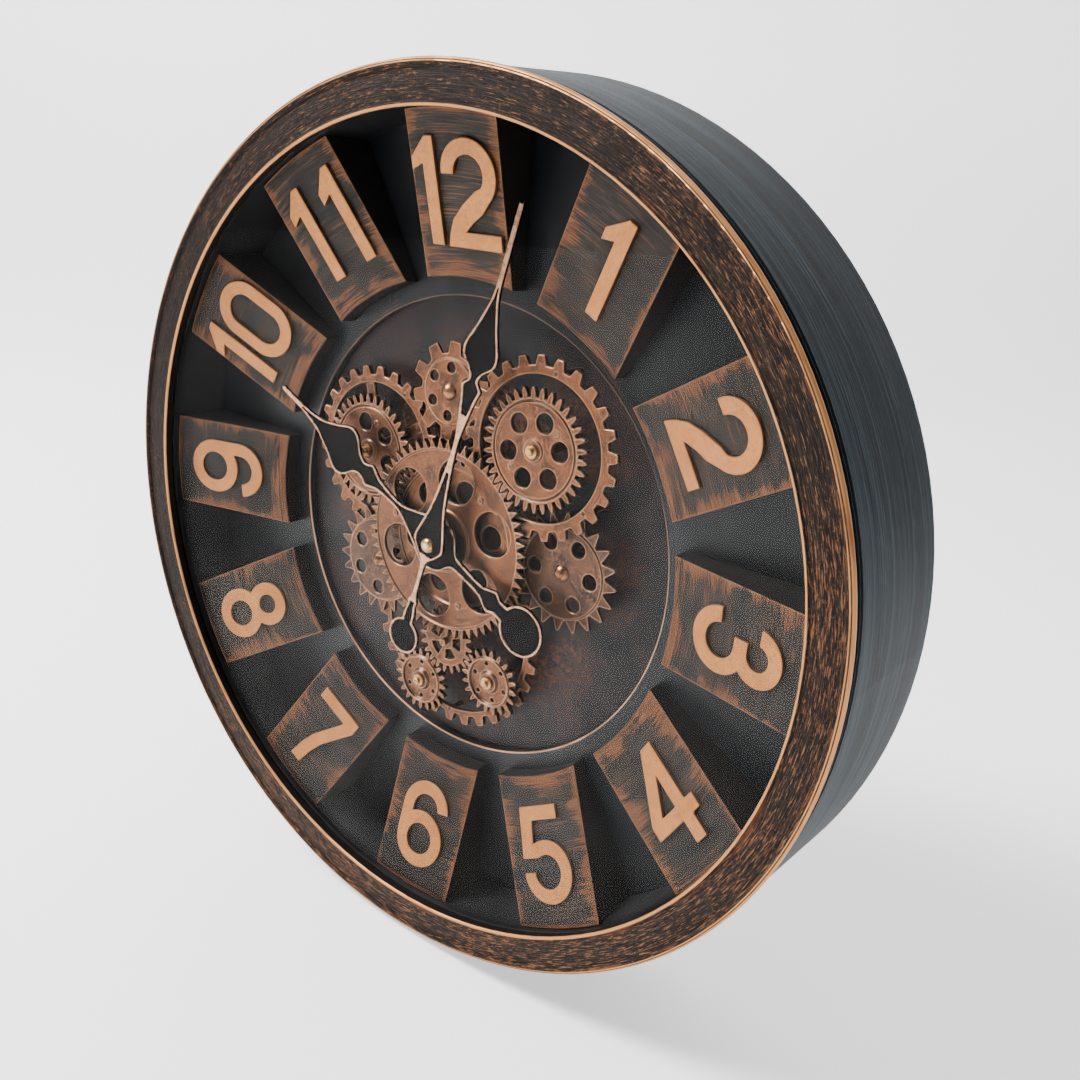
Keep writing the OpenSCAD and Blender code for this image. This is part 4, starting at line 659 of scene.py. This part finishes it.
bronze = plain_material("bronze", (0.020, 0.012, 0.008), BRONZE, 0.42,
                        metal=0.6, scale=300.0, bump=0.15)
paint("gear_posts", bronze)
paint("spacer_posts", bronze)
soften("number_blocks", block_material(), BLOCK_ROUND)
for k in range(1, 13):
    soften("numeral_%d" % k, numbers, NUMBER_ROUND)
for n in ("hour_hand_rim", "minute_hand_rim"):
    soften(n, border, HAND_ROUND, merge=False)
soften("dial_ring", dial_material(), DIAL_ROUND, merge=False)

# Stage: a pale sweep, softboxes and the camera
sweep = []
for i in range(SWEEP_STEPS + 1):
    a = math.radians(90.0 * i / SWEEP_STEPS)
    sweep.append((SWEEP_START + SWEEP_R * math.sin(a), FLOOR_Z + SWEEP_R * (1.0 - math.cos(a))))
profile = [(FLOOR_FRONT, FLOOR_Z)] + sweep + [(WALL_AT, WALL_TOP)]
verts = [(x, y, z) for y, z in profile for x in (-FLOOR_HALF_WIDTH, FLOOR_HALF_WIDTH)]
faces = [(2 * i, 2 * i + 1, 2 * i + 3, 2 * i + 2) for i in range(len(profile) - 1)]
floor_mesh = bpy.data.meshes.new("floor")
floor_mesh.from_pydata(verts, [], faces)
floor_mesh.polygons.foreach_set("use_smooth", [True] * len(floor_mesh.polygons))
floor = add("floor", floor_mesh)
floor.rotation_euler = (0.0, 0.0, FLOOR_TURN)
floor_paint = Tree("floor_paint")
floor_paint.surface(PAPER, 0.8, spec=0.1)
paper = floor_paint.out.inputs[0].links[0].from_node
paper.inputs["Emission Color"].default_value = (*WHITE, 1.0)
paper.inputs["Emission Strength"].default_value = PAPER_GLOW
floor_mesh.materials.append(floor_paint.mat)


def softbox(name, at, size, watts, color=WHITE):
    """A rectangular light aimed at the middle of the clock."""
    data = bpy.data.lights.new(name, "AREA")
    data.shape = "RECTANGLE"
    data.size, data.size_y = size
    data.energy = watts
    data.color = color
    o = add(name, data)
    o.location = at
    o.rotation_euler = (-Vector(at)).to_track_quat("-Z", "Y").to_euler()


softbox("key", (-1.5, -1.2, 2.0), (0.8, 0.8), 210.0)
softbox("fill", (2.1, -1.4, 1.0), (1.4, 1.4), 10.0, COOL)
softbox("top", (0.3, 0.2, 2.2), (1.6, 1.4), 14.0)
world = bpy.data.worlds.new("world")
bpy.context.scene.world = world
world.use_nodes = True
sky = world.node_tree.nodes["Background"]
sky.inputs["Color"].default_value = (*WHITE, 1.0)
sky.inputs["Strength"].default_value = WORLD_GLOW

camera_data = bpy.data.cameras.new("camera")
camera_data.sensor_width = SENSOR_WIDTH
camera_data.lens = LENS
camera_data.clip_start = CLIP_START
camera = add("camera", camera_data)
turn = Matrix((CAMERA_RIGHT, CAMERA_UP, CAMERA_BACK)).transposed().to_4x4()
camera.matrix_world = Matrix.Translation(CAMERA_AT) @ turn
bpy.context.scene.camera = camera
